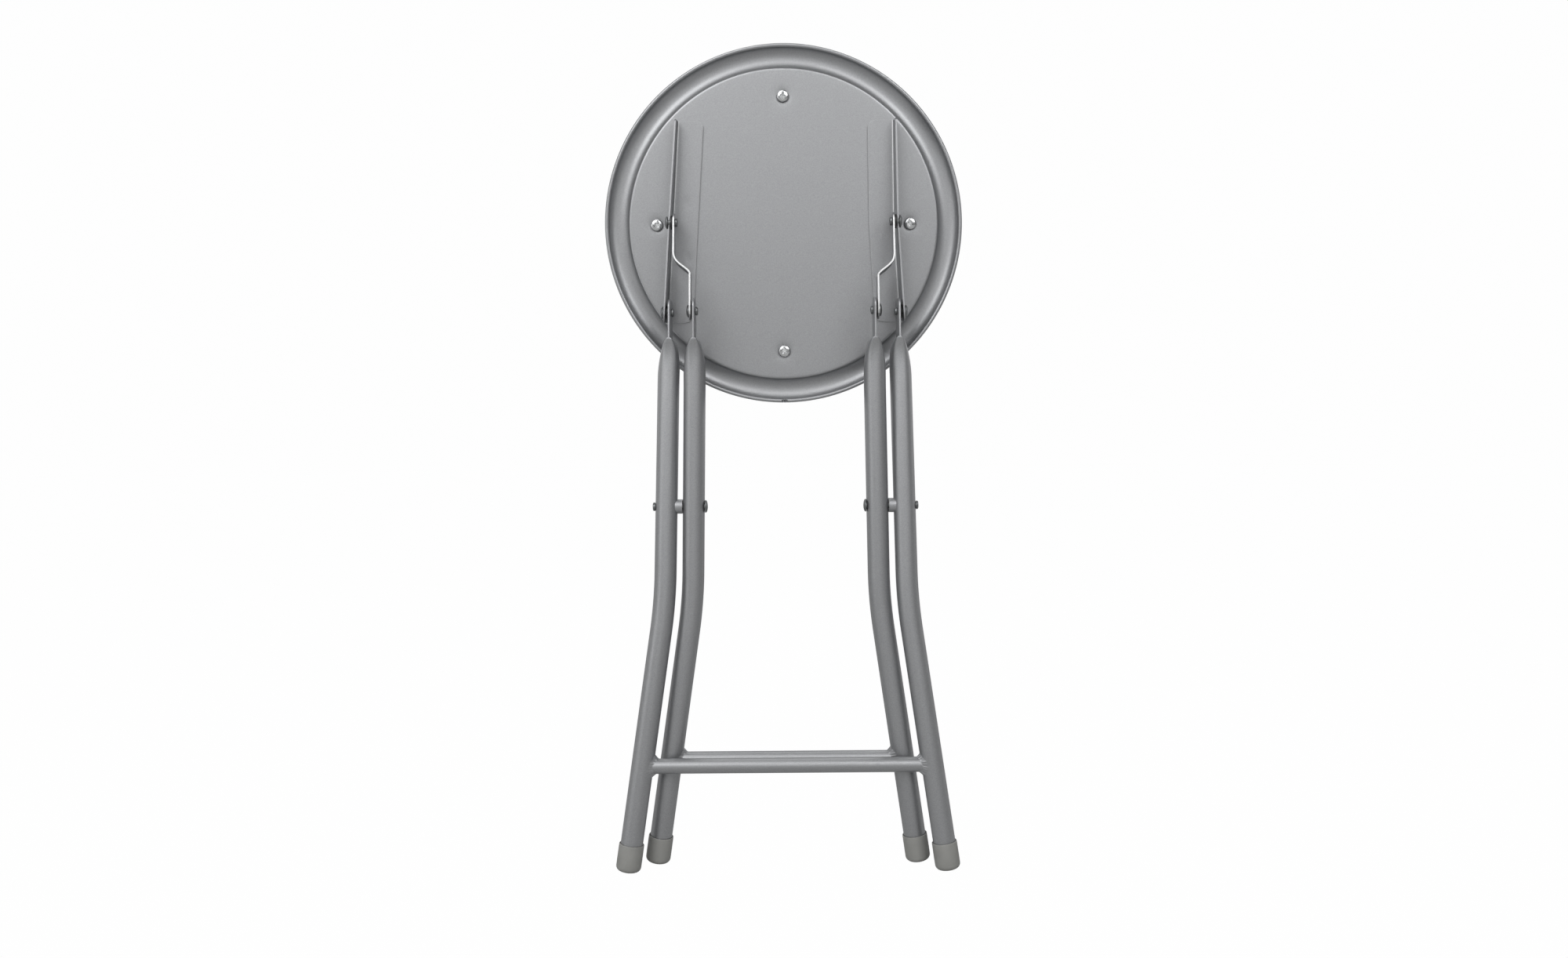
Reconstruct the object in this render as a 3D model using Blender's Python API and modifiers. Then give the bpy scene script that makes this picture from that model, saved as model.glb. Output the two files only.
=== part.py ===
"""Folding stool with a round padded seat, folded flat and stood on its four feet.

Metres, +Z up, +X to the right. The underside of the seat faces -Y and the cushion faces +Y.
Two tube frames cross at the scissor rivets. Each bracket under the seat carries an outer leg at its
lower hole and a joggled link at its middle hole, and each link carries an inner leg.
"""

from math import acos, asin, atan2, copysign, cos, pi, sin, sqrt

import bmesh
import bpy
from mathutils import Matrix, Vector

GAP = 0.0003  # clearance between touching pieces

# Linkage, measured along the legs and the seat
LINK_LENGTH = 0.074  # bracket pivot to bracket pivot, and link hole to link hole
LEG_TOP = 0.160  # scissor rivet to the hole in a leg's flattened top
LEG_REACH = 0.292  # scissor rivet to the sole of a foot cap
PIVOT_HEIGHT = 0.0193  # bracket holes from the plate of the pan

# Legs
LEG_RADIUS = 0.009
LEG_WALL = 0.0010
TAB_HALF_WIDTH = 0.013
TAB_HALF_THICKNESS = LEG_WALL
TAB_RISE = 0.010  # tab end above its hole
TAB_CORNER = 0.007
TAB_DROP = 0.022  # flat part below the hole
FLARE_END = 0.053  # full round below the hole
LEG_SIDES = 16
BEND_Z = -0.077
BEND_HALF = 0.024
TAB_EASE = 0.035  # run over which a leg's top moves to its tab's plane
TOP_Z = 0.100

# Crossbars
BAR_RADIUS = 0.006
BAR_WALL = 0.0010
OUTER_BAR_Z = -0.2095
INNER_BAR_Z = -0.2080
WELD_RISE = 0.0022
WELD_RUN = 0.0042
WELD_DEPTH = 0.0030  # weld past the nearest face of the leg, round its side

# Foot caps
CAP_RADIUS = LEG_RADIUS + 0.0011
CAP_HEIGHT = 0.0215
CAP_SOLE = 0.0032
CAP_ROUND = 0.0038

# Rivets and washers
SHANK_RADIUS = 0.0025
HOLE_RADIUS = SHANK_RADIUS + GAP
HEAD_RADIUS = 0.0052
HEAD_HEIGHT = 0.0022
TAIL_RADIUS = 0.0035
TAIL_HEIGHT = 0.0019
WASHER_RADIUS = 0.0058
SHEAR_WASHER_RADIUS = 0.0064
SPACER_RADIUS = 0.00585

# Seat pan, radii and depths from the flat of its underside
SHEET = 0.0008
SEAT_RADIUS = 0.150
RIM_WIDTH = 0.0205
PLATE_RADIUS = SEAT_RADIUS - RIM_WIDTH
PLATE_LIP = 0.0006
LIP_WIDTH = 0.0019
BEAD_RADIUS = 0.0083
BEAD_OFFSET = 0.0010  # flat between the plate's lip and the bead
BEAD_CENTRE = PLATE_RADIUS + BEAD_OFFSET + BEAD_RADIUS
BEAD_LIFT = 0.0010
HEM_RADIUS = 0.0016
HEM_DEPTH = 0.0006
PAN_SIDES = 60

# Brackets
BRACKET_SHEET = 0.0013
BRACKET_TOP = 0.086
BRACKET_END = 0.0080  # bracket past its lower hole
BRACKET_FOOT = -LINK_LENGTH - BRACKET_END
BRACKET_INSET = 0.0345
BRACKET_X = PLATE_RADIUS - BRACKET_INSET  # outer face of the web at the middle hole
BRACKET_SPLAY = 0.0595  # outward run of the web for each metre down the seat
UPPER_SPLAY = {-1: 0.0640, 1: 0.0100}  # the same above the middle hole, by side, as the two were welded
FLANGE_WIDTH = 0.0232
BEND_RADIUS = 0.0030
WEB_TOP = 0.0130
WEB_FOOT = 0.0278
WEB_CORNER = 0.0075
WEB_TOP_CORNER = 0.0030
FLANGE_CORNER = 0.0065

# Links
LINK_SHEET = 0.0013
LINK_HALF_WIDTH = 0.0075
JOGGLE_START = {-1: -0.0245, 1: -0.0270}  # by side, as the two were pressed
JOGGLE_LENGTH = 0.0195
JOGGLE_EASE = 1.6  # its start is eased more than its end

# Distances from the middle plane, from the brackets inward
TAB_INSET = 0.0005
LEG_SPACE = 0.0027
TAB_PITCH = 2 * LEG_RADIUS + LEG_SPACE  # outer tab to inner tab, wide enough for the two legs side by side
LINK_INSET = 0.0047
LINK_STAND = 0.0031  # link's middle surface outside the inner tab's
OUTER_TAB_X = BRACKET_X - TAB_INSET
INNER_TAB_X = OUTER_TAB_X - TAB_PITCH
LINK_UPPER_X = BRACKET_X - LINK_INSET
LINK_LOWER_X = INNER_TAB_X + LINK_STAND
OUTER_TOP_OUT = 0.0014
OUTER_BEND_OUT = 0.0044
OUTER_FOOT_OUT = 0.0345
INNER_BEND_OUT = 0.0026
INNER_FOOT_OUT = 0.0335
OUTER_X = {
    "tab": OUTER_TAB_X,
    "top": OUTER_TAB_X + OUTER_TOP_OUT,
    "bend": OUTER_TAB_X + OUTER_BEND_OUT,
    "foot": OUTER_TAB_X + OUTER_FOOT_OUT,
}
INNER_X = {
    "tab": INNER_TAB_X,
    "top": INNER_TAB_X,
    "bend": INNER_TAB_X + INNER_BEND_OUT,
    "foot": INNER_TAB_X + INNER_FOOT_OUT,
}

# Cushion
BOARD_RADIUS = PLATE_RADIUS - 0.0033
BOARD_THICKNESS = 0.0050
COVER_THICKNESS = 0.0009
COVER_SLACK = 0.0012  # cover's foot outside the board
COVER_BULGE = 0.0043  # widest part of the cover outside the board
CROWN = 0.0300
CUSHION_SIDES = 40
COVER_START = SHEET + GAP
BOARD_START = COVER_START + COVER_THICKNESS + GAP
FOAM_START = BOARD_START + BOARD_THICKNESS + GAP
SCREW_CIRCLE = BOARD_RADIUS - 0.0197
COVER_EDGE = SCREW_CIRCLE + 0.0060
SCREW_HEAD = 0.0050
SCREW_HEAD_HEIGHT = 0.0024
SCREW_SHANK = 0.0020
SCREW_LENGTH = 0.0068
PLATE_HOLE = SCREW_SHANK + 0.0008
RECESS_REACH = 0.0024
RECESS_HALF = 0.0005
RECESS_DEPTH = 0.0012

# Folded pose: the outer crossbar rests on the front of the inner legs
FOLD = asin((BAR_RADIUS + LEG_RADIUS + GAP) / (-2 * OUTER_BAR_Z))
HALF_SPREAD = LEG_TOP * sin(FOLD)
SEAT_LEAN = asin(HALF_SPREAD / LINK_LENGTH)
LEG_TILT = atan2(OUTER_X["foot"] - OUTER_X["bend"], LEG_REACH + BEND_Z)
SOLE_LEAN = acos(cos(LEG_TILT) * cos(FOLD))

# The scissor rivets' axis, placed so that the soles touch the floor and the stool's depth is centred
SCISSOR_Z = (LEG_REACH - CAP_ROUND) * cos(FOLD) + (CAP_RADIUS - CAP_ROUND) * sin(SOLE_LEAN) + CAP_ROUND
SCISSOR_Y = -0.01705

AXIS_D = Vector((0, SCISSOR_Y, SCISSOR_Z))
AXIS_A = AXIS_D + Vector((0, HALF_SPREAD, LEG_TOP * cos(FOLD)))
AXIS_B = AXIS_A + Vector((0, -HALF_SPREAD, LINK_LENGTH * cos(SEAT_LEAN)))

OUTER = Matrix.Translation(AXIS_D) @ Matrix.Rotation(-FOLD, 4, "X")
INNER = Matrix.Translation(AXIS_D) @ Matrix.Rotation(FOLD, 4, "X")
SEAT = (
    Matrix.Translation(AXIS_B)
    @ Matrix.Rotation(SEAT_LEAN, 4, "X")
    @ Matrix.Translation((0, PIVOT_HEIGHT, 0))
)
LINK = Matrix.Translation(AXIS_B) @ Matrix.Rotation(-SEAT_LEAN, 4, "X")

SIDES = (("left", -1), ("right", 1))

SILVER = ((0.42, 0.42, 0.42, 1), 0.85, 0.38)
ZINC = ((0.62, 0.62, 0.62, 1), 1.0, 0.25)
BLACK_NYLON = ((0.015, 0.015, 0.016, 1), 0.0, 0.4)
GREY_PLASTIC = ((0.33, 0.32, 0.30, 1), 0.0, 0.55)
PLYWOOD = ((0.55, 0.40, 0.24, 1), 0.0, 0.7)
FOAM = ((0.75, 0.70, 0.52, 1), 0.0, 0.9)
BLACK_VINYL = ((0.02, 0.02, 0.02, 1), 0.0, 0.45)


def clear_scene():
    """Remove every object of the open scene."""
    for thing in list(bpy.data.objects):
        bpy.data.objects.remove(thing, do_unlink=True)


def new_collection(name):
    """Return a new collection linked to the scene."""
    made = bpy.data.collections.new(name)
    bpy.context.scene.collection.children.link(made)
    return made


def new_material(name, finish):
    """Return a Principled BSDF material of one colour."""
    colour, metallic, roughness = finish
    made = bpy.data.materials.new(name)
    made.use_nodes = True
    shader = made.node_tree.nodes["Principled BSDF"]
    shader.inputs["Base Color"].default_value = colour
    shader.inputs["Metallic"].default_value = metallic
    shader.inputs["Roughness"].default_value = roughness
    return made


class Stool:
    """The collections, the hinge empties and the named pieces of the stool."""

    def __init__(self):
        self.pieces = new_collection("folding_stool")
        self.cutters = new_collection("cutters")
        self.hinges = {None: None}

    def add_hinge(self, name, place):
        """Add an empty on a joint's axis."""
        made = bpy.data.objects.new(name, None)
        made.empty_display_size = 0.02
        made.location = place
        self.pieces.objects.link(made)
        self.hinges[name] = made

    def add(self, name, bm, place, finish, hinge=None):
        """Add a named piece whose mesh is built in the frame that place gives."""
        mesh = bpy.data.meshes.new(name)
        bm.to_mesh(mesh)
        bm.free()
        mesh.materials.append(new_material(name, finish))
        piece = bpy.data.objects.new(name, mesh)
        piece.matrix_world = place
        self.pieces.objects.link(piece)
        empty = self.hinges[hinge]
        if empty:
            piece.parent = empty
            piece.matrix_parent_inverse = Matrix.Translation(empty.location).inverted()
        return piece

    def add_turned(self, name, profile, place, finish, hinge=None, steps=12, ring=False):
        """Add a piece turned about the local Z axis from (along, radius) points."""
        piece = self.add(name, profile_mesh(profile, ring), place, finish, hinge)
        turned = piece.modifiers.new("turned", "SCREW")
        turned.axis = "Z"
        turned.angle = 2 * pi
        turned.steps = steps
        turned.render_steps = steps
        turned.use_merge_vertices = True
        turned.merge_threshold = 0.00001
        return piece

    def cut(self, piece, bm, place):
        """Cut a piece with a mesh that is kept as a hidden wire object."""
        bmesh.ops.recalc_face_normals(bm, faces=bm.faces)
        mesh = bpy.data.meshes.new(piece.name + "_cutter")
        bm.to_mesh(mesh)
        bm.free()
        tool = bpy.data.objects.new(mesh.name, mesh)
        tool.matrix_world = place
        tool.hide_render = True
        tool.display_type = "WIRE"
        self.cutters.objects.link(tool)
        hole = piece.modifiers.new("holes", "BOOLEAN")
        hole.operation = "DIFFERENCE"
        hole.solver = "EXACT"
        hole.object = tool


def profile_mesh(profile, ring):
    """Edges of a profile, run so that its outer side goes from top to bottom."""
    pairs = zip(profile, profile[1:] + profile[:1])
    area = sum(r0 * z1 - r1 * z0 for (z0, r0), (z1, r1) in pairs)
    points = profile[::-1] if area > 0 else profile
    bm = bmesh.new()
    verts = [bm.verts.new((radius, 0, along)) for along, radius in points]
    for pair in zip(verts, verts[1:]):
        bm.edges.new(pair)
    if ring:
        bm.edges.new((verts[-1], verts[0]))
    return bm


def loft(bm, rings, cap_first=True, cap_last=True):
    """Join rings of equal count with quads and close the ends, and return the rows of vertices."""
    rows = [[bm.verts.new(p) for p in ring] for ring in rings]
    for low, high in zip(rows, rows[1:]):
        for i in range(len(low)):
            j = (i + 1) % len(low)
            bm.faces.new((low[i], low[j], high[j], high[i]))
    if cap_first:
        bm.faces.new(rows[0])
    if cap_last:
        bm.faces.new(rows[-1])
    bmesh.ops.recalc_face_normals(bm, faces=bm.faces)
    return rows


def across(side):
    """Turn the local Z axis to point outward on one side."""
    return Matrix.Rotation(side * pi / 2, 4, "Y")


def into_seat():
    """Turn the local Z axis from the underside of the seat toward the cushion."""
    return Matrix.Rotation(-pi / 2, 4, "X")


def drill(bm, radius, half, place, segments=12):
    """Add a cylinder along the local Z axis of a place, as a cutter."""
    bmesh.ops.create_cone(
        bm,
        cap_ends=True,
        segments=segments,
        radius1=radius,
        radius2=radius,
        depth=2 * half,
        matrix=place,
    )


def smooth(t):
    """Ease from 0 to 1."""
    t = min(max(t, 0), 1)
    return t * t * (3 - 2 * t)


# Legs


def leg_centre(z, xs):
    """Distance of a leg's centreline from the middle plane, at a height along the frame."""
    lower = -leg_slope(xs)
    upper = (xs["top"] - xs["bend"]) / (TOP_Z - BEND_Z)
    if z > TOP_Z:
        return xs["top"] + (xs["tab"] - xs["top"]) * smooth((z - TOP_Z) / TAB_EASE)
    x = xs["bend"] + (upper if z > BEND_Z else lower) * (z - BEND_Z)
    inside = BEND_HALF - abs(z - BEND_Z)
    if inside > 0:
        x += (upper - lower) * inside**2 / (4 * BEND_HALF)
    return x


def leg_section(z):
    """Half thickness, half width and squareness of a leg at a height along the frame."""
    down = min(max((LEG_TOP - TAB_DROP - z) / (FLARE_END - TAB_DROP), 0), 1)
    flat = 1 - sqrt(1 - (1 - down) ** 2)
    thick = LEG_RADIUS + (TAB_HALF_THICKNESS - LEG_RADIUS) * flat
    wide = LEG_RADIUS + (TAB_HALF_WIDTH - LEG_RADIUS) * smooth(flat * 1.3)
    over = z - LEG_TOP - (TAB_RISE - TAB_CORNER)
    if over > 0:
        wide -= TAB_CORNER - sqrt(max(TAB_CORNER**2 - over**2, 0))
    return thick, wide, 2 + 5 * flat


def leg_ring(z, xs, side, inset=0):
    """Section of a leg square to its centreline."""
    thick, wide, square = leg_section(z)
    slope = (leg_centre(z + 0.0005, xs) - leg_centre(z - 0.0005, xs)) / 0.001
    run = 1 / sqrt(1 + slope**2)
    centre = leg_centre(z, xs)
    ring = []
    for i in range(LEG_SIDES):
        c, s = cos(2 * pi * i / LEG_SIDES), sin(2 * pi * i / LEG_SIDES)
        out = (thick - inset) * copysign(abs(c) ** (2 / square), c)
        deep = (wide - inset) * copysign(abs(s) ** (2 / square), s)
        ring.append((side * (centre + out * run), deep, z - out * slope * run))
    return ring


def leg_heights():
    """Heights of a leg's sections from the tube's end to the end of its tab."""
    tube_end = CAP_SOLE + GAP - LEG_REACH
    bend = [BEND_Z + BEND_HALF * k for k in (-1, -0.5, 0, 0.5, 1)]
    flare = [LEG_TOP - FLARE_END + (FLARE_END - TAB_DROP) * k for k in (0, 0.45, 0.7, 0.87, 0.965, 1)]
    corner = LEG_TOP + TAB_RISE - TAB_CORNER
    return [tube_end, *bend, *flare, *[corner + TAB_CORNER * k for k in (0, 0.65, 0.9, 0.995)]]


def leg_mesh(xs, side):
    """A tube, open at the foot, bent outward and flattened to a tab at the top."""
    heights = leg_heights()
    bore = [z for z in heights if z < LEG_TOP - FLARE_END + 0.75 * (FLARE_END - TAB_DROP)]
    bm = bmesh.new()
    outer = loft(bm, [leg_ring(z, xs, side) for z in heights], cap_first=False)
    inner = loft(bm, [leg_ring(z, xs, side, LEG_WALL) for z in bore], cap_first=False)
    for i in range(LEG_SIDES):
        j = (i + 1) % LEG_SIDES
        bm.faces.new((outer[0][i], outer[0][j], inner[0][j], inner[0][i]))
    bmesh.ops.recalc_face_normals(bm, faces=bm.faces)
    return bm


def leg_holes(xs, side):
    """Cutter for a leg's scissor hole and tab hole."""
    bm = bmesh.new()
    for z, x, half in ((0, leg_centre(0, xs), 1.5 * LEG_RADIUS), (LEG_TOP, xs["tab"], 4 * TAB_HALF_THICKNESS)):
        drill(bm, HOLE_RADIUS, half, Matrix.Translation((side * x, 0, z)) @ across(side))
    return bm


def leg_slope(xs):
    """Outward run of a leg's lower part for each metre down."""
    return (xs["foot"] - xs["bend"]) / (LEG_REACH + BEND_Z)


def along_leg(xs, side, z):
    """A place on the centreline of a leg's lower part, with the local Z axis up the leg."""
    x = side * (xs["bend"] + leg_slope(xs) * (BEND_Z - z))
    return Matrix.Translation((x, 0, z)) @ Matrix.Rotation(-side * atan2(leg_slope(xs), 1), 4, "Y")


def cap_profile():
    """A cup pressed over the end of a leg, with a rounded sole."""
    flat = CAP_RADIUS - CAP_ROUND
    inside = LEG_RADIUS + GAP
    return [
        (0, 0),
        *[(CAP_ROUND * (1 - cos(a)), flat + CAP_ROUND * sin(a)) for a in (0, pi / 6, pi / 3, pi / 2)],
        (CAP_HEIGHT - 0.0005, CAP_RADIUS),
        (CAP_HEIGHT, CAP_RADIUS - 0.0004),
        (CAP_HEIGHT, inside),
        (CAP_SOLE, inside),
        (CAP_SOLE, 0),
    ]


def crossbar_profile(xs, z):
    """A tube between two legs, with a weld collar at each end."""
    reach = leg_centre(z, xs) - LEG_RADIUS
    end = reach + WELD_DEPTH
    bore = BAR_RADIUS - BAR_WALL
    half = [
        (end, bore),
        (end, BAR_RADIUS + WELD_RISE),
        (reach - 0.2 * WELD_RUN, BAR_RADIUS + WELD_RISE),
        (reach - 0.55 * WELD_RUN, BAR_RADIUS + 0.4 * WELD_RISE),
        (reach - WELD_RUN, BAR_RADIUS),
    ]
    return [(-x, r) for x, r in half] + half[::-1]


def crossbar_copes(xs, z):
    """Cutter that fits a crossbar's ends to its legs."""
    bm = bmesh.new()
    for _, side in SIDES:
        drill(bm, LEG_RADIUS + GAP, 4 * BAR_RADIUS, along_leg(xs, side, z), 2 * LEG_SIDES)
    return bm


# Seat


def pan_profile():
    """Underside of the pan from its centre to the hem, then its top side back, as (depth, radius)."""
    wall = BEAD_CENTRE - BEAD_RADIUS
    arcs = [pi - pi * k / 7 for k in range(8)]
    under = [
        (0, 0),
        (0, PLATE_RADIUS - LIP_WIDTH),
        (-PLATE_LIP, PLATE_RADIUS - 0.5 * LIP_WIDTH),
        (-PLATE_LIP, wall - 0.0003),
        (-PLATE_LIP * 0.4, wall),
        *[(BEAD_LIFT + BEAD_RADIUS * sin(a), BEAD_CENTRE + BEAD_RADIUS * cos(a)) for a in arcs],
    ]
    thick = BEAD_RADIUS + SHEET
    over = [
        *[(BEAD_LIFT + thick * sin(a), BEAD_CENTRE + thick * cos(a)) for a in arcs[::-1]],
        (-PLATE_LIP * 0.4 + SHEET, wall - SHEET),
        (SHEET - PLATE_LIP, wall - 1.4 * SHEET),
        (SHEET - PLATE_LIP, PLATE_RADIUS - 0.8 * LIP_WIDTH),
        (SHEET, PLATE_RADIUS - 1.2 * LIP_WIDTH),
        (SHEET, 0),
    ]
    centre = SEAT_RADIUS - HEM_RADIUS
    turns = (-1.9, -0.9, 0.1, 1.1, 2.1)
    hem = [(-HEM_DEPTH - HEM_RADIUS * cos(a), centre + HEM_RADIUS * sin(a)) for a in turns]
    return under + hem + over


def screw_places():
    """Places of the four cushion screws on the plate, by name."""
    return (
        ("top", 0, SCREW_CIRCLE),
        ("bottom", 0, -SCREW_CIRCLE),
        ("left", -SCREW_CIRCLE, 0),
        ("right", SCREW_CIRCLE, 0),
    )


def screw_holes(radius, half):
    """Cutter for the four screw holes."""
    bm = bmesh.new()
    for _, x, z in screw_places():
        drill(bm, radius, half, Matrix.Translation((x, 0, z)) @ into_seat(), 12)
    return bm


def rounded(along, ends):
    """Drop of an edge at its rounded ends, each given as (end, radius)."""
    drop = 0
    for end, radius in ends:
        inside = radius - abs(along - end)
        if inside > 0:
            drop += radius - sqrt(radius**2 - inside**2)
    return drop


def bracket_ring(v, side):
    """Angle section of a bracket: flange against the plate, web toward the front."""
    root = BRACKET_X - (UPPER_SPLAY[side] if v > 0 else BRACKET_SPLAY) * v
    along = (BRACKET_TOP - v) / (BRACKET_TOP - BRACKET_FOOT)
    deep = WEB_TOP + (WEB_FOOT - WEB_TOP) * along
    deep -= rounded(v, ((BRACKET_FOOT, WEB_CORNER), (BRACKET_TOP, WEB_TOP_CORNER)))
    wide = FLANGE_WIDTH - rounded(v, ((BRACKET_FOOT, FLANGE_CORNER), (BRACKET_TOP, FLANGE_CORNER)))
    bend = BEND_RADIUS
    inner = bend - BRACKET_SHEET
    arc = [pi / 2 * k / 3 for k in range(4)]
    ring = [
        (wide, 0),
        *[(bend * (1 - sin(a)), bend * (1 - cos(a))) for a in arc],
        (0, deep),
        (BRACKET_SHEET, deep),
        *[(bend - inner * sin(a), bend - inner * cos(a)) for a in arc[::-1]],
        (wide, BRACKET_SHEET),
    ]
    return [(side * (root - inward), -GAP - down, v) for inward, down in ring]


def bracket_mesh(side):
    """A bracket of bent sheet with rounded corners."""
    steps = [WEB_CORNER * k for k in (0, 0.07, 0.26, 0.53, 1)]
    heights = [*[BRACKET_FOOT + k for k in steps], 0, *[BRACKET_TOP - k for k in steps[::-1]]]
    bm = bmesh.new()
    loft(bm, [bracket_ring(v, side) for v in heights])
    return bm


def bracket_holes(side):
    """Cutter for a bracket's two pivot holes."""
    bm = bmesh.new()
    for v in (0, -LINK_LENGTH):
        x = side * (BRACKET_X - BRACKET_SPLAY * v)
        drill(bm, HOLE_RADIUS, 3 * BRACKET_SHEET, Matrix.Translation((x, -PIVOT_HEIGHT, v)) @ across(side))
    return bm


# Cushion


def cover_outside():
    """Outside of the cover from its tucked edge over the shoulder to the crown."""
    side = (
        (0, COVER_SLACK),
        (COVER_SLACK, COVER_SLACK + 0.0010),
        (0.27 * CROWN, 0.55 * COVER_BULGE),
        (0.45 * CROWN, COVER_BULGE),
        (0.63 * CROWN, 0.65 * COVER_BULGE),
    )
    top = ((0.78, 0.96), (0.88, 0.81), (0.96, 0.49), (1.0, 0))
    points = [(along, BOARD_RADIUS + out) for along, out in side]
    points += [(share * CROWN, reach * BOARD_RADIUS) for share, reach in top]
    return [(COVER_START + along, radius) for along, radius in points]


def inside_of(points, skin):
    """Points moved in by a skin, kept off the far side of the axis."""
    return [(along - skin, max(radius - skin, 0)) for along, radius in points]


def cover_profile():
    """The cover, drawn over the foam and tucked under the edge of the board."""
    outside = cover_outside()
    lip = COVER_START + COVER_THICKNESS
    edge = BOARD_RADIUS + GAP
    return [
        (COVER_START, COVER_EDGE),
        *outside,
        *inside_of(outside[3:], COVER_THICKNESS)[::-1],
        (BOARD_START + BOARD_THICKNESS, edge),
        (lip, edge),
        (lip, COVER_EDGE),
    ]


def foam_profile():
    """The foam pad, crowned on top, on the whole of the board."""
    top = inside_of(cover_outside()[3:], COVER_THICKNESS + GAP)
    return [(FOAM_START, 0), (FOAM_START, BOARD_RADIUS - GAP), *top]


def board_profile():
    """The round plywood board that the screws pull against the plate."""
    end = BOARD_START + BOARD_THICKNESS
    return [(BOARD_START, 0), (BOARD_START, BOARD_RADIUS), (end, BOARD_RADIUS), (end, 0)]


def screw_profile():
    """A pan-head screw, driven from the underside into the board."""
    return [
        (-GAP - SCREW_HEAD_HEIGHT, 0),
        (-GAP - SCREW_HEAD_HEIGHT * 0.96, SCREW_HEAD * 0.45),
        (-GAP - SCREW_HEAD_HEIGHT * 0.72, SCREW_HEAD * 0.82),
        (-GAP - SCREW_HEAD_HEIGHT * 0.30, SCREW_HEAD),
        (-GAP, SCREW_HEAD * 0.98),
        (-GAP, SCREW_SHANK),
        (SCREW_LENGTH - 0.0015, SCREW_SHANK),
        (SCREW_LENGTH, 0),
    ]


def cross_recess():
    """Cutter for a screw's cross recess, narrower at the bottom."""
    arms = ((RECESS_REACH, RECESS_HALF), (RECESS_HALF, RECESS_HALF), (RECESS_HALF, RECESS_REACH))
    outline = []
    for sx, sz in ((1, 1), (-1, 1), (-1, -1), (1, -1)):
        corner = arms if sx * sz > 0 else arms[::-1]
        outline += [(sx * u, sz * w) for u, w in corner]
    top = -GAP - SCREW_HEAD_HEIGHT
    bm = bmesh.new()
    loft(bm, [[(u * k, w * k, top + z) for u, w in outline] for z, k in ((-0.001, 1), (RECESS_DEPTH, 0.8))])
    return bm


# Links


def link_centre(z, side):
    """Distance of a link's middle surface from the middle plane."""
    t = min(max((JOGGLE_START[side] - z) / JOGGLE_LENGTH, 0), 1)
    return LINK_UPPER_X + (LINK_LOWER_X - LINK_UPPER_X) * smooth(t**JOGGLE_EASE)


def link_ring(z, side):
    """Section of a link, as thick as the strip square to its run."""
    slope = (link_centre(z + 0.0002, side) - link_centre(z - 0.0002, side)) / 0.0004
    run = 1 / sqrt(1 + slope**2)
    past = max(z, -LINK_LENGTH - z, 0)
    wide = sqrt(LINK_HALF_WIDTH**2 - past**2)
    ring = []
    for way, deep in ((1, 1), (-1, 1), (-1, -1), (1, -1)):
        half = way * LINK_SHEET / 2
        ring.append((side * (link_centre(z, side) + half * run), deep * wide, z - half * slope * run))
    return ring


def link_mesh(side):
    """A joggled strip with round ends."""
    rounds = [LINK_HALF_WIDTH * sin(pi / 2 * k / 5.3) for k in range(6)]
    joggle = [JOGGLE_START[side] - JOGGLE_LENGTH * k / 10 for k in range(11)]
    heights = rounds[::-1] + joggle + [-LINK_LENGTH - r for r in rounds]
    bm = bmesh.new()
    loft(bm, [link_ring(z, side) for z in heights])
    return bm


def link_holes(side):
    """Cutter for a link's two holes."""
    bm = bmesh.new()
    for z, x in ((0, LINK_UPPER_X), (-LINK_LENGTH, LINK_LOWER_X)):
        drill(bm, HOLE_RADIUS, 3 * LINK_SHEET, Matrix.Translation((side * x, 0, z)) @ across(side))
    return bm


# Rivets, washers and spacers, as distances outward from the middle plane


def domed(face, way):
    """Profile of a domed head from its top down to a face."""
    steps = ((1.0, 0), (0.88, 0.52), (0.62, 0.84), (0.25, 1.0), (0, 1.0))
    return [(face + way * HEAD_HEIGHT * k, HEAD_RADIUS * r) for k, r in steps]


def upset(face, way):
    """Profile of a rivet's set end, from a face outward."""
    steps = ((0, 1.0), (0.55, 1.0), (1.0, 0.7), (1.0, 0))
    return [(face + way * TAIL_HEIGHT * k, TAIL_RADIUS * r) for k, r in steps]


def rivet_profile(head, tail):
    """A rivet from the face under its head to the face under its set end."""
    way = 1 if head > tail else -1
    under, over = head + way * GAP, tail - way * GAP
    return [*domed(under, way), (under, SHANK_RADIUS), (over, SHANK_RADIUS), *upset(over, -way)]


def washer_profile(low, high, radius):
    """A plain washer between two faces."""
    return [(low, HOLE_RADIUS), (high, HOLE_RADIUS), (high, radius), (low, radius)]


def web_face(v, way):
    """Outer or inner face of a bracket's web at a pivot, at its nearest within a washer's reach."""
    middle = BRACKET_X - BRACKET_SPLAY * v
    slack = BRACKET_SPLAY * WASHER_RADIUS
    return middle + slack if way > 0 else middle - BRACKET_SHEET - slack


def spacer_saddle(side):
    """Cutter that fits a spacer's outer end to the outer tube, which it doesn't turn against."""
    bm = bmesh.new()
    place = Matrix.Translation((side * leg_centre(0, OUTER_X), 0, 0))
    drill(bm, LEG_RADIUS + GAP, 3 * SPACER_RADIUS, place, 2 * LEG_SIDES)
    return bm


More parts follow.
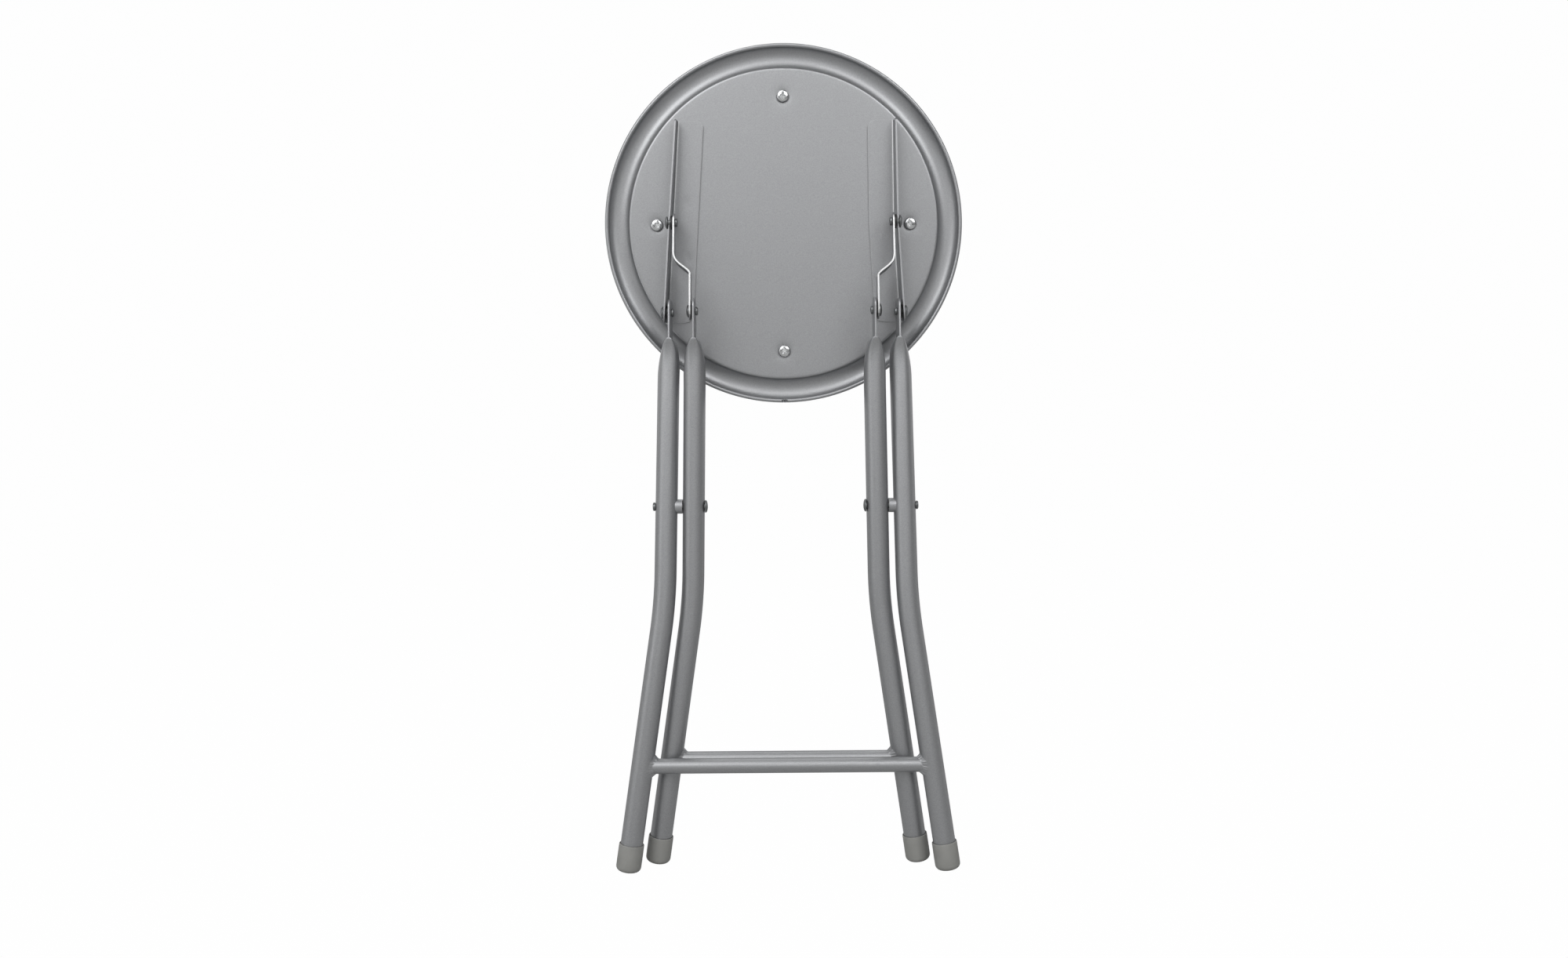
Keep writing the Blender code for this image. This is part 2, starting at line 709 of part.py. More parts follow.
def add_frames(stool):
    """Add the outer frame and the inner frame."""
    for kind, xs, frame, bar_z, hinge in (
        ("outer", OUTER_X, OUTER, OUTER_BAR_Z, None),
        ("inner", INNER_X, INNER, INNER_BAR_Z, "scissor_hinge"),
    ):
        for name, side in SIDES:
            leg = stool.add(f"{kind}_leg_{name}", leg_mesh(xs, side), frame, SILVER, hinge)
            stool.cut(leg, leg_holes(xs, side), frame)
            foot = frame @ along_leg(xs, side, -LEG_REACH)
            stool.add_turned(f"{kind}_foot_cap_{name}", cap_profile(), foot, GREY_PLASTIC, hinge, LEG_SIDES)
        place = frame @ Matrix.Translation((0, 0, bar_z)) @ across(1)
        profile = crossbar_profile(xs, bar_z)
        bar = stool.add_turned(f"{kind}_crossbar", profile, place, SILVER, hinge, 16, ring=True)
        stool.cut(bar, crossbar_copes(xs, bar_z), frame)


def add_scissor(stool):
    """Add the rivets and spacers where the frames cross."""
    head = leg_centre(0, INNER_X) - LEG_RADIUS
    tail = leg_centre(0, OUTER_X) + LEG_RADIUS
    low = leg_centre(0, INNER_X) + LEG_RADIUS + 1.5 * GAP
    high = leg_centre(0, OUTER_X) - 0.6 * LEG_RADIUS
    for name, side in SIDES:
        place = OUTER @ across(side)
        stool.add_turned(f"scissor_rivet_{name}", rivet_profile(head, tail), place, ZINC)
        profile = washer_profile(low, high, SPACER_RADIUS)
        spacer = stool.add_turned(f"scissor_spacer_{name}", profile, place, ZINC, steps=16, ring=True)
        stool.cut(spacer, spacer_saddle(side), OUTER)


def add_seat(stool):
    """Add the pan, its brackets and the cushion."""
    hinge = "seat_hinge"
    axis = SEAT @ into_seat()
    pan = stool.add_turned("seat_pan", pan_profile(), axis, SILVER, hinge, PAN_SIDES)
    stool.cut(pan, screw_holes(PLATE_HOLE, 4 * SHEET), SEAT)
    for name, side in SIDES:
        bracket = stool.add(f"seat_bracket_{name}", bracket_mesh(side), SEAT, SILVER, hinge)
        stool.cut(bracket, bracket_holes(side), SEAT)
    board = stool.add_turned("cushion_board", board_profile(), axis, PLYWOOD, hinge, CUSHION_SIDES)
    stool.cut(board, screw_holes(SCREW_SHANK + GAP, 3 * BOARD_THICKNESS), SEAT)
    stool.add_turned("cushion_foam", foam_profile(), axis, FOAM, hinge, CUSHION_SIDES)
    stool.add_turned("cushion_cover", cover_profile(), axis, BLACK_VINYL, hinge, CUSHION_SIDES, ring=True)
    for name, x, z in screw_places():
        place = SEAT @ Matrix.Translation((x, 0, z)) @ into_seat()
        screw = stool.add_turned(f"cushion_screw_{name}", screw_profile(), place, ZINC, hinge)
        stool.cut(screw, cross_recess(), place)


def add_outer_leg_pivots(stool):
    """Add the rivets and washers that hold the outer legs to the brackets."""
    outer_face, inner_face = web_face(-LINK_LENGTH, 1), web_face(-LINK_LENGTH, -1)
    rivet = rivet_profile(outer_face, OUTER_X["tab"] - TAB_HALF_THICKNESS)
    low = OUTER_X["tab"] + TAB_HALF_THICKNESS + GAP
    washer = washer_profile(low, inner_face - GAP, WASHER_RADIUS)
    for name, side in SIDES:
        place = OUTER @ Matrix.Translation((0, 0, LEG_TOP)) @ across(side)
        stool.add_turned(f"seat_hinge_rivet_{name}", rivet, place, ZINC)
        stool.add_turned(f"seat_hinge_washer_{name}", washer, place, BLACK_NYLON, steps=16, ring=True)


def add_links(stool):
    """Add the links with the rivets and washers at their upper ends."""
    hinge = "link_hinge"
    rivet = rivet_profile(web_face(0, 1), LINK_UPPER_X - LINK_SHEET / 2)
    low = LINK_UPPER_X + LINK_SHEET / 2 + GAP
    washer = washer_profile(low, web_face(0, -1) - GAP, WASHER_RADIUS)
    for name, side in SIDES:
        link = stool.add(f"link_{name}", link_mesh(side), LINK, SILVER, hinge)
        stool.cut(link, link_holes(side), LINK)
        place = LINK @ across(side)
        stool.add_turned(f"link_pivot_rivet_{name}", rivet, place, ZINC, hinge)
        stool.add_turned(f"link_pivot_washer_{name}", washer, place, BLACK_NYLON, hinge, 16, ring=True)


def add_inner_leg_pivots(stool):
    """Add the rivets and washers between the links and the inner legs, parted at the shear plane."""
    shear = INNER_X["tab"] + TAB_HALF_THICKNESS + GAP
    head = LINK_LOWER_X + LINK_SHEET / 2 + GAP
    tail = INNER_X["tab"] - TAB_HALF_THICKNESS - GAP
    headed = [*domed(head, 1), (head, SHANK_RADIUS), (shear, SHANK_RADIUS), (shear, 0)]
    set_end = [(shear - GAP, 0), (shear - GAP, SHANK_RADIUS), (tail, SHANK_RADIUS), *upset(tail, -1)]
    washer = washer_profile(shear, LINK_LOWER_X - LINK_SHEET / 2 - GAP, SHEAR_WASHER_RADIUS)
    for name, side in SIDES:
        place = LINK @ Matrix.Translation((0, 0, -LINK_LENGTH)) @ across(side)
        stool.add_turned(f"link_leg_rivet_{name}", headed, place, ZINC, "link_hinge")
        stool.add_turned(f"link_leg_washer_{name}", washer, place, BLACK_NYLON, "link_hinge", 16, ring=True)
        place = INNER @ Matrix.Translation((0, 0, LEG_TOP)) @ across(side)
        stool.add_turned(f"inner_leg_rivet_tail_{name}", set_end, place, ZINC, "scissor_hinge")


def main():
    """Build the stool."""
    clear_scene()
    stool = Stool()
    stool.add_hinge("scissor_hinge", AXIS_D)
    stool.add_hinge("seat_hinge", AXIS_A)
    stool.add_hinge("link_hinge", AXIS_B)
    add_frames(stool)
    add_scissor(stool)
    add_seat(stool)
    add_outer_leg_pivots(stool)
    add_links(stool)
    add_inner_leg_pivots(stool)
    bpy.context.view_layer.update()


main()
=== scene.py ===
"""Folding stool, folded and stood on its four feet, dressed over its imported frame.

Metres, +Z up, +X to the right. The bare underside of the seat faces -Y and the cushion faces +Y.
"""

import logging
from collections.abc import Callable, Sequence
from dataclasses import dataclass, field
from enum import Enum
from math import acos, asin, atan2, copysign, cos, exp, hypot, pi, radians, sin, sqrt

import bmesh
import bpy
from bmesh.types import BMesh, BMVert
from bpy.types import Material, Node, NodeSocket, NodeTree, Object
from mathutils import Matrix, Vector, noise


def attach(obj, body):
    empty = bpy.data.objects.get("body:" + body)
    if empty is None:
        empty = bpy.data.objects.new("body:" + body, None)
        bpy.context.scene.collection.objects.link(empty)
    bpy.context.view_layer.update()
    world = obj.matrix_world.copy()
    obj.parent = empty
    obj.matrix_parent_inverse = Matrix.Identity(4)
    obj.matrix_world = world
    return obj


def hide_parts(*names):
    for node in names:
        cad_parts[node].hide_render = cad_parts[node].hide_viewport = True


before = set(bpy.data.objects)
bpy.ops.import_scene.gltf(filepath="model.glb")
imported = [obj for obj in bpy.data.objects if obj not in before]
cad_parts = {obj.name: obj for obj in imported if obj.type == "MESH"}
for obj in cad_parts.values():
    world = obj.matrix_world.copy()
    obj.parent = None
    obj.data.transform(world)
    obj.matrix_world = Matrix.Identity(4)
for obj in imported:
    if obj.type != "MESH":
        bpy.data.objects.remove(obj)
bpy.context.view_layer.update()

log = logging.getLogger("stool")

Profile = Sequence[tuple[float, float]]
Colour = tuple[float, float, float, float]
Inputs = dict[str | int, object]

GAP = 0.0003  # clearance between pieces that touch
SCREW_CIRCLE = 0.1065  # from the middle of the seat to its screws
PER_METRE = 1000  # millimetres
MERGE = 1e-6  # points nearer than this are one


class Body(Enum):
    """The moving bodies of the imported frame."""

    OUTER_FRAME = "outer_frame"
    INNER_FRAME = "inner_frame"
    SEAT = "seat"
    LINKS = "links"


class Side(Enum):
    """The two halves of the stool, by the sign of X."""

    LEFT = -1
    RIGHT = 1

    @property
    def label(self) -> str:
        """The side's name in a piece's name."""
        return self.name.lower()


def linear(hex_colour: str) -> Colour:
    """Turn an sRGB hex colour into linear light.

    Args:
        hex_colour: Six hex digits after a hash.

    Returns:
        Linear red, green, blue and an alpha of 1.
    """
    parts = [int(hex_colour[i : i + 2], 16) / 255 for i in (1, 3, 5)]
    light = [c / 12.92 if c <= 0.04045 else ((c + 0.055) / 1.055) ** 2.4 for c in parts]
    return (light[0], light[1], light[2], 1.0)


def add_node(tree: NodeTree, kind: str, given: Inputs | None = None) -> Node:
    """Add a shader node with its settings and its incoming links.

    Args:
        tree: The node tree to add to.
        kind: Blender's name of the node type, from after "ShaderNode".
        given: Its settings and inputs, as feed takes them.

    Returns:
        The new node.
    """
    node = tree.nodes.new(f"ShaderNode{kind}")
    feed(tree, node, given or {})
    return node


def feed(tree: NodeTree, node: Node, given: Inputs) -> None:
    """Set a node's properties and inputs.

    Args:
        tree: The tree that holds the node.
        node: The node to set.
        given: Properties by name, and inputs by name or number. An input takes a value, the
            socket that feeds it, or the node whose first output does.
    """
    for key, value in given.items():
        if isinstance(value, Node):
            value = value.outputs[0]
        if isinstance(value, NodeSocket):
            tree.links.new(value, node.inputs[key])
        elif isinstance(key, str) and hasattr(node, key):
            setattr(node, key, value)
        else:
            node.inputs[key].default_value = value


def smooth(t: float) -> float:
    """Ease from 0 to 1."""
    t = min(max(t, 0.0), 1.0)
    return t * t * (3 - 2 * t)


def arc(start: float, end: float, count: int) -> list[float]:
    """Evenly spaced angles from start to end, both included."""
    return [start + (end - start) * k / count for k in range(count + 1)]


# Finishes


@dataclass(frozen=True)
class Finish:
    """What every finish has: its name, the name of its slot and its material."""

    name: str
    slot: str

    def shade(self, tree: NodeTree, place: NodeSocket) -> Inputs:
        """Return the shader's inputs. Each finish makes its own.

        Args:
            tree: The material's node tree.
            place: Object coordinates.

        Returns:
            The inputs of the shader, as feed takes them.
        """
        raise NotImplementedError

    def material(self) -> Material:
        """Return the finish's material, made the first time that it is asked for."""
        found = bpy.data.materials.get(self.name)
        if found:
            return found
        made = bpy.data.materials.new(self.name)
        made.use_nodes = True
        tree = made.node_tree
        place = add_node(tree, "TexCoord").outputs["Object"]
        feed(tree, tree.nodes["Principled BSDF"], self.shade(tree, place))
        return made


@dataclass(frozen=True)
class TwoTone(Finish):
    """A finish whose colour wanders between two tones."""

    dark: str
    light: str

    @property
    def tones(self) -> Inputs:
        """Settings of a mix from the dark to the light tone."""
        return {"data_type": "RGBA", 6: linear(self.dark), 7: linear(self.light)}


@dataclass(frozen=True)
class SilverPowderCoat(TwoTone):
    """Baked polyester powder with aluminium flake: satin, with a fine sparkle and soft orange peel."""

    name: str = "silver_metallic_powder_coat"
    slot: str = "silver_powder_coat"
    dark: str = "#9a9b9d"
    light: str = "#a5a6a8"
    flake_mm: float = 0.9  # real flake is under 0.1 mm, drawn as coarse as it needs to show
    peel_mm: float = 2.2
    cloud_mm: float = 30.0

    def shade(self, tree: NodeTree, place: NodeSocket) -> Inputs:
        """Flake in the colour, clouds in the roughness and peel in the bump."""
        flake = add_node(tree, "TexNoise", {"Vector": place, "Scale": PER_METRE / self.flake_mm, "Detail": 2.0})
        cloud = add_node(tree, "TexNoise", {"Vector": place, "Scale": PER_METRE / self.cloud_mm, "Detail": 3.0})
        peel = add_node(tree, "TexNoise", {"Vector": place, "Scale": PER_METRE / self.peel_mm, "Detail": 1.0})
        spread = add_node(tree, "MapRange", {"Value": flake, "From Min": 0.3, "From Max": 0.7})
        colour = add_node(tree, "Mix", {**self.tones, 0: spread})
        rough = add_node(tree, "MapRange", {"Value": cloud, "To Min": 0.42, "To Max": 0.48})
        bump = add_node(tree, "Bump", {"Height": peel, "Strength": 0.08, "Distance": 0.0002})
        return {"Metallic": 0.85, "Base Color": colour.outputs[2], "Roughness": rough, "Normal": bump}


@dataclass(frozen=True)
class BrightZinc(TwoTone):
    """Barrel zinc plate on steel: dented by tumbling, bright on the screws and dulled on the rivets."""

    name: str = "bright_zinc_plate"
    slot: str = "bright_zinc"
    dark: str = "#b2b4b5"
    light: str = "#dedfe0"
    dull: float = 0.32
    bright: float = 0.20
    dent_mm: float = 1.6

    def shade(self, tree: NodeTree, place: NodeSocket) -> Inputs:
        """Tumbling marks in the colour, the roughness and the bump."""
        dent = add_node(tree, "TexNoise", {"Vector": place, "Scale": PER_METRE / self.dent_mm, "Detail": 4.0})
        colour = add_node(tree, "Mix", {**self.tones, 0: dent})
        rough = add_node(tree, "MapRange", {"Value": dent, "To Min": self.dull, "To Max": self.bright})
        bump = add_node(tree, "Bump", {"Height": dent, "Strength": 0.15, "Distance": 0.0001})
        return {"Metallic": 1.0, "Base Color": colour.outputs[2], "Roughness": rough, "Normal": bump}


@dataclass(frozen=True)
class BlackNylon(Finish):
    """Moulded nylon washer: black and smooth, dulled where it rubs."""

    name: str = "black_moulded_nylon"
    slot: str = "black_nylon"
    colour: str = "#161617"
    rub_mm: float = 3.0

    def shade(self, tree: NodeTree, place: NodeSocket) -> Inputs:
        """Rubbed patches in the roughness."""
        rub = add_node(tree, "TexNoise", {"Vector": place, "Scale": PER_METRE / self.rub_mm, "Detail": 3.0})
        rough = add_node(tree, "MapRange", {"Value": rub, "To Min": 0.35, "To Max": 0.6})
        return {"Base Color": linear(self.colour), "IOR": 1.53, "Roughness": rough}


@dataclass(frozen=True)
class CapPlastic(TwoTone):
    """Injection-moulded polythene: warm grey and matt, with a fine spark-eroded grain."""

    name: str = "grey_moulded_polythene"
    slot: str = "grey_plastic"
    dark: str = "#838380"
    light: str = "#949491"
    grain_mm: float = 0.7
    cloud_mm: float = 12.0

    def shade(self, tree: NodeTree, place: NodeSocket) -> Inputs:
        """Moulding clouds in the colour and grain in the bump."""
        grain = add_node(tree, "TexNoise", {"Vector": place, "Scale": PER_METRE / self.grain_mm, "Detail": 3.0})
        cloud = add_node(tree, "TexNoise", {"Vector": place, "Scale": PER_METRE / self.cloud_mm, "Detail": 2.0})
        colour = add_node(tree, "Mix", {**self.tones, 0: cloud})
        bump = add_node(tree, "Bump", {"Height": grain, "Strength": 0.25, "Distance": 0.0001})
        return {"Roughness": 0.52, "IOR": 1.51, "Base Color": colour.outputs[2], "Normal": bump}


@dataclass(frozen=True)
class GrainedVinyl(TwoTone):
    """Black PVC leathercloth, embossed by a roller: pebbles between narrow creases, satin on top, with painted
    shade in the creases.
    """

    name: str = "black_grained_vinyl"
    slot: str = "black_vinyl"
    dark: str = "#0d0d0e"  # the creases, darker as painted shade
    light: str = "#1d1d1f"  # the pebbles
    pebble_mm: float = 1.5
    cloud_mm: float = 40.0

    def shade(self, tree: NodeTree, place: NodeSocket) -> Inputs:
        """Pebbles from the distance to cell edges, with painted shade in the creases, and clouds in the gloss.
        """
        edges = {"feature": "DISTANCE_TO_EDGE", "Vector": place, "Scale": PER_METRE / self.pebble_mm}
        cells = add_node(tree, "TexVoronoi", edges)
        cloud = add_node(tree, "TexNoise", {"Vector": place, "Scale": PER_METRE / self.cloud_mm, "Detail": 3.0})
        rise = {"interpolation_type": "SMOOTHSTEP", "Value": cells.outputs["Distance"], "From Max": 0.25}
        height = add_node(tree, "MapRange", rise)
        # The colour follows the pebbles' height: painted shade in the creases.
        colour = add_node(tree, "Mix", {**self.tones, 0: height})
        rough = add_node(tree, "MapRange", {"Value": cloud, "To Min": 0.38, "To Max": 0.50})
        bump = add_node(tree, "Bump", {"Height": height, "Strength": 0.5, "Distance": 0.0003})
        return {"IOR": 1.53, "Base Color": colour.outputs[2], "Roughness": rough, "Normal": bump}


@dataclass(frozen=True)
class BirchPly(TwoTone):
    """Raw rotary-cut birch plywood: pale, with long wandering grain and no polish."""

    name: str = "raw_birch_plywood"
    slot: str = "plywood"
    dark: str = "#b58f62"
    light: str = "#d3b387"
    grain_mm: float = 9.0

    def shade(self, tree: NodeTree, place: NodeSocket) -> Inputs:
        """Grain drawn out along Z in the colour and the bump."""
        drawn = add_node(tree, "Mapping", {"Vector": place, "Scale": (1.0, 1.0, 0.08)})
        grain = add_node(tree, "TexNoise", {"Vector": drawn, "Scale": PER_METRE / self.grain_mm, "Detail": 6.0})
        colour = add_node(tree, "Mix", {**self.tones, 0: grain})
        bump = add_node(tree, "Bump", {"Height": grain, "Strength": 0.3, "Distance": 0.0002})
        return {"Roughness": 0.75, "Base Color": colour.outputs[2], "Normal": bump}


SILVER = SilverPowderCoat()
# Paler coat on the edges of the sheet parts: partly bare metal where the coat is thin on cut edges, partly a
# painted highlight along them.
EDGE_COAT_AND_HIGHLIGHT = SilverPowderCoat(name="thin_powder_coat_on_cut_edge", dark="#cdcece", light="#dbdcdc")
ZINC = BrightZinc()
RIVET_ZINC = BrightZinc(name="dulled_zinc_plate", dark="#626465", light="#8e9091", dull=0.50, bright=0.36)
NYLON = BlackNylon()
PLASTIC = CapPlastic()
VINYL = GrainedVinyl()
PLYWOOD = BirchPly()


# Mesh work


def turned(profile: Profile, steps: int, ring: bool = False) -> BMesh:
    """Spin a profile about the local Z axis.

    Args:
        profile: Points as (along, radius).
        steps: Facets of a full turn.
        ring: Whether the last point joins the first.

    Returns:
        A closed mesh with its faces outward.
    """
    bm = bmesh.new()
    verts = [bm.verts.new((radius, 0, along)) for along, radius in profile]
    edges = [bm.edges.new(pair) for pair in zip(verts, verts[1:])]
    if ring:
        edges.append(bm.edges.new((verts[-1], verts[0])))
    bmesh.ops.spin(
        bm,
        geom=verts + edges,
        cent=(0, 0, 0),
        axis=(0, 0, 1),
        dvec=(0, 0, 0),
        angle=2 * pi,
        steps=steps,
        use_merge=True,
        use_duplicate=False,
    )
    seal(bm)
    return bm


def seal(bm: BMesh) -> None:
    """Merge the points that meet and turn the faces outward."""
    bmesh.ops.remove_doubles(bm, verts=bm.verts, dist=MERGE)
    bmesh.ops.recalc_face_normals(bm, faces=bm.faces)


def tube(stations: Sequence[float], sides: int, shape: Callable[[Vector], Vector]) -> BMesh:
    """Make a round tube with a loop at each station and shape it point by point.

    Args:
        stations: Heights of the loops, from the lowest to the highest.
        sides: Facets round the tube.
        shape: Gives the place of a point of the unit tube, whose Z is its station.

    Returns:
        The shaped tube, open at both ends.
    """
    bm = bmesh.new()
    low, high = stations[0], stations[-1]
    middle = Matrix.Translation((0, 0, (low + high) / 2))
    bmesh.ops.create_cone(
        bm, cap_ends=False, segments=sides, radius1=1, radius2=1, depth=high - low, matrix=middle
    )
    for z in stations[1:-1]:
        whole = [*bm.verts, *bm.edges, *bm.faces]
        bmesh.ops.bisect_plane(bm, geom=whole, dist=1e-7, plane_co=(0, 0, z), plane_no=(0, 0, 1))
    for vert in bm.verts:
        vert.co = shape(vert.co)
    return bm


def strip(columns: int, rows: int, shape: Callable[[int, int], Vector], sheet: float) -> BMesh:
    """Make a strip of sheet metal from a grid.

    Args:
        columns: Cells across.
        rows: Cells along.
        shape: Gives the middle surface's place for a column and a row.
        sheet: Thickness.

    Returns:
        The closed strip with softened edges.
    """
    bm = bmesh.new()
    bmesh.ops.create_grid(bm, x_segments=columns, y_segments=rows, size=0.5)
    for vert in bm.verts:
        column = round((vert.co.x + 0.5) * columns)
        row = round((vert.co.y + 0.5) * rows)
        vert.co = shape(column, row)
    bmesh.ops.recalc_face_normals(bm, faces=bm.faces)
    bm.normal_update()
    for vert in bm.verts:
        vert.co -= vert.normal * sheet / 2
    bmesh.ops.solidify(bm, geom=bm.faces[:], thickness=-sheet)
    bmesh.ops.recalc_face_normals(bm, faces=bm.faces)
    soften(bm, sheet * 0.40, radians(60), 3)
    return bm


def soften(bm: BMesh, offset: float, angle: float = radians(40), segments: int = 2) -> None:
    """Round the edges that turn more than an angle.

    Args:
        bm: The mesh to change.
        offset: Width of the rounding on each side of the edge.
        angle: Least turn of an edge that is rounded.
        segments: Facets of the rounding.
    """
    sharp = [e for e in bm.edges if len(e.link_faces) == 2 and e.calc_face_angle(0) > angle]
    bmesh.ops.bevel(
        bm,
        geom=sharp,
        offset=offset,
        offset_type="OFFSET",
        affect="EDGES",
        segments=segments,
        profile=0.5,
        material=-1,
        clamp_overlap=True,
    )


def close_ends(bm: BMesh) -> None:
    """Fill the open ends of a tube and turn its faces outward."""
    bmesh.ops.holes_fill(bm, edges=[e for e in bm.edges if e.is_boundary], sides=0)
    bmesh.ops.recalc_face_normals(bm, faces=bm.faces)


def as_object(bm: BMesh, name: str) -> Object:
    """Put a mesh into a new object of the scene, and free the bmesh.

    Args:
        bm: The mesh.
        name: The object's name.

    Returns:
        The new object.
    """
    mesh = bpy.data.meshes.new(name)
    bm.to_mesh(mesh)
    bm.free()
    made = bpy.data.objects.new(name, mesh)
    bpy.context.scene.collection.objects.link(made)
    return made


def evaluated(obj: Object) -> BMesh:
    """Take an object's mesh with its modifiers applied, and remove the object.

    Args:
        obj: The object to take.

    Returns:
        Its evaluated mesh.
    """
    bpy.context.view_layer.update()
    graph = bpy.context.evaluated_depsgraph_get()
    bm = bmesh.new()
    bm.from_mesh(obj.evaluated_get(graph).to_mesh())
    bpy.data.objects.remove(obj, do_unlink=True)
    return bm


def carved(bm: BMesh, cutter: BMesh) -> BMesh:
    """Cut one mesh from another and return what is left.

    Args:
        bm: The mesh to cut.
        cutter: The mesh to take away.

    Returns:
        What is left.
    """
    body, tool = as_object(bm, "carved_body"), as_object(cutter, "carving_tool")
    cut = body.modifiers.new("cut", "BOOLEAN")
    cut.operation = "DIFFERENCE"
    cut.solver = "EXACT"
    cut.object = tool
    left = evaluated(body)
    bpy.data.objects.remove(tool, do_unlink=True)
    return left


def finish_piece(
    bm: BMesh,
    name: str,
    place: Matrix,
    body: Body,
    finish: Finish,
    *stands_for: str,
    crease: float = 35,
) -> Object:
    """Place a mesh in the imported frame, dress it and let it ride on its body.

    Args:
        bm: The mesh, in the frame that place gives.
        name: The piece's name.
        place: From the mesh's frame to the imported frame.
        body: The body it moves with.
        finish: What it is finished with.
        stands_for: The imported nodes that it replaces.
        crease: Turn in degrees over which an edge shades sharp.

    Returns:
        The finished object, at the origin.
    """
    bmesh.ops.transform(bm, matrix=place, verts=bm.verts)
    obj = as_object(bm, name)
    obj.data.shade_smooth()
    obj.data.set_sharp_from_angle(angle=radians(crease))
    obj.data.materials.append(finish.material())
    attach(obj, body.value)
    if stands_for:
        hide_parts(*stands_for)
    log.info("%s: %d faces on %s", name, len(obj.data.polygons), body.value)
    return obj


def finish_side(
    bm: BMesh, side: Side, name: str, place: Matrix, body: Body, finish: Finish, node: str
) -> Object:
    """Finish a piece of one side, named for it, that stands for that side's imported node.

    Args:
        bm: The mesh, in the frame that place gives.
        side: Which side it is on.
        name: The piece's name without its side.
        place: From the mesh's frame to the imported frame.
        body: The body it moves with.
        finish: What it is finished with.
        node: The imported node's name without its side.

    Returns:
        The finished object, at the origin.
    """
    return finish_piece(bm, f"{side.label}_{name}", place, body, finish, f"{node}_{side.label}")


def across(side: Side) -> Matrix:
    """Turn the local Z axis to point outward on one side."""
    return Matrix.Rotation(side.value * pi / 2, 4, "Y")


def into_seat() -> Matrix:
    """Turn the local Z axis from the underside of the seat toward the cushion."""
    return Matrix.Rotation(-pi / 2, 4, "X")


# Linkage


@dataclass(frozen=True)
class Linkage:
    """The pivots of the folded stool, from the lengths between them."""

    link_length: float = 0.074
    leg_top: float = 0.160
    leg_reach: float = 0.292
    pivot_height: float = 0.0193
    bar_rest: float = 0.0153  # outer crossbar's centreline from the inner legs' centreline
    bar_drop: float = 0.2095  # outer crossbar below the scissor rivets
    scissor_y: float = -0.01705
    leg_tilt: float = atan2(0.0301, 0.215)  # outward slope of a leg's lower part
    sole_radius: float = 0.0063
    sole_round: float = 0.0038

    @property
    def fold(self) -> float:
        """Lean of each leg frame from upright."""
        return asin(self.bar_rest / (2 * self.bar_drop))

    @property
    def seat_lean(self) -> float:
        """Lean of the seat from upright."""
        return asin(self.leg_top * sin(self.fold) / self.link_length)

    @property
    def scissor(self) -> Vector:
        """Where the two leg frames cross."""
        lean = acos(cos(self.leg_tilt) * cos(self.fold))
        reach = (self.leg_reach - self.sole_round) * cos(self.fold)
        return Vector((0, self.scissor_y, reach + self.sole_radius * sin(lean) + self.sole_round))

    @property
    def seat_pivot(self) -> Vector:
        """Where the links turn on the seat's brackets."""
        rise = self.leg_top * cos(self.fold) + self.link_length * cos(self.seat_lean)
        return self.scissor + Vector((0, 0, rise))

    @property
    def outer(self) -> Matrix:
        """Frame of the outer legs, with Z up the leg from the scissor rivets."""
        return Matrix.Translation(self.scissor) @ Matrix.Rotation(-self.fold, 4, "X")

    @property
    def inner(self) -> Matrix:
        """Frame of the inner legs, with Z up the leg from the scissor rivets."""
        return Matrix.Translation(self.scissor) @ Matrix.Rotation(self.fold, 4, "X")

    @property
    def seat(self) -> Matrix:
        """Frame of the seat: Y toward the cushion, Z up, from the middle of the pan's underside."""
        lean = Matrix.Rotation(self.seat_lean, 4, "X")
        return Matrix.Translation(self.seat_pivot) @ lean @ Matrix.Translation((0, self.pivot_height, 0))

    @property
    def link(self) -> Matrix:
        """Frame of the links, with Z up the link from its upper hole."""
        return Matrix.Translation(self.seat_pivot) @ Matrix.Rotation(-self.seat_lean, 4, "X")


LINKAGE = Linkage()


# Fasteners


@dataclass
class Rivet:
    """A domed rivet along X, by distances from the middle plane, and its washer."""

    shank: float = 0.0025
    hole: float = 0.0028
    head_radius: float = 0.0052
    head_height: float = 0.0022
    tail_radius: float = 0.0035
    tail_height: float = 0.0019
    rim: float = 0.22  # share of the head's height below its dome
    steps: int = 40
    washer_radius: float = 0.0058
    washer_steps: int = 48

    def head(self, face: float, way: int) -> list[tuple[float, float]]:
        """Profile of the domed head from its top down to a face."""
        rim, high, wide = self.rim, way * self.head_height, self.head_radius
        dome = [(face + high * (rim + (1 - rim) * cos(a)), wide * sin(a)) for a in arc(0, pi / 2, 12)]
        return [*dome, (face + high * 0.06, wide), (face, wide * 0.96)]

    def tail(self, face: float, way: int) -> list[tuple[float, float]]:
        """Profile of the set end from a face outward, with the ring that the setting tool leaves."""
        upset = ((0, 0.95), (0.12, 1.0), (0.6, 0.99), (0.85, 0.9), (0.97, 0.72), (1.0, 0.6))
        ring = ((0.9, 0.5), (0.82, 0.35), (0.8, 0))
        return [(face + way * self.tail_height * k, self.tail_radius * r) for k, r in upset + ring]

    def whole(self, head: float, tail: float) -> BMesh:
        """A rivet from the face under its head to the face under its set end.

        Args:
            head: The face that its head bears on.
            tail: The face that its set end bears on.

        Returns:
            The closed rivet.
        """
        way = 1 if head > tail else -1
        under, over = head + way * GAP, tail - way * GAP
        shank = [(under, self.shank), (over, self.shank)]
        return turned([*self.head(under, way), *shank, *self.tail(over, -way)], self.steps)

    def washer(self, low: float, high: float, radius: float) -> BMesh:
        """A plain washer between two faces.

        Args:
            low: The nearer face.
            high: The farther face.
            radius: Its outer radius.

        Returns:
            The closed washer.
        """
        section = [(low, self.hole), (high, self.hole), (high, radius), (low, radius)]
        bm = turned(section, self.washer_steps, ring=True)
        soften(bm, min(0.00025, (high - low) * 0.3))
        return bm


RIVET = Rivet()


# Leg frames


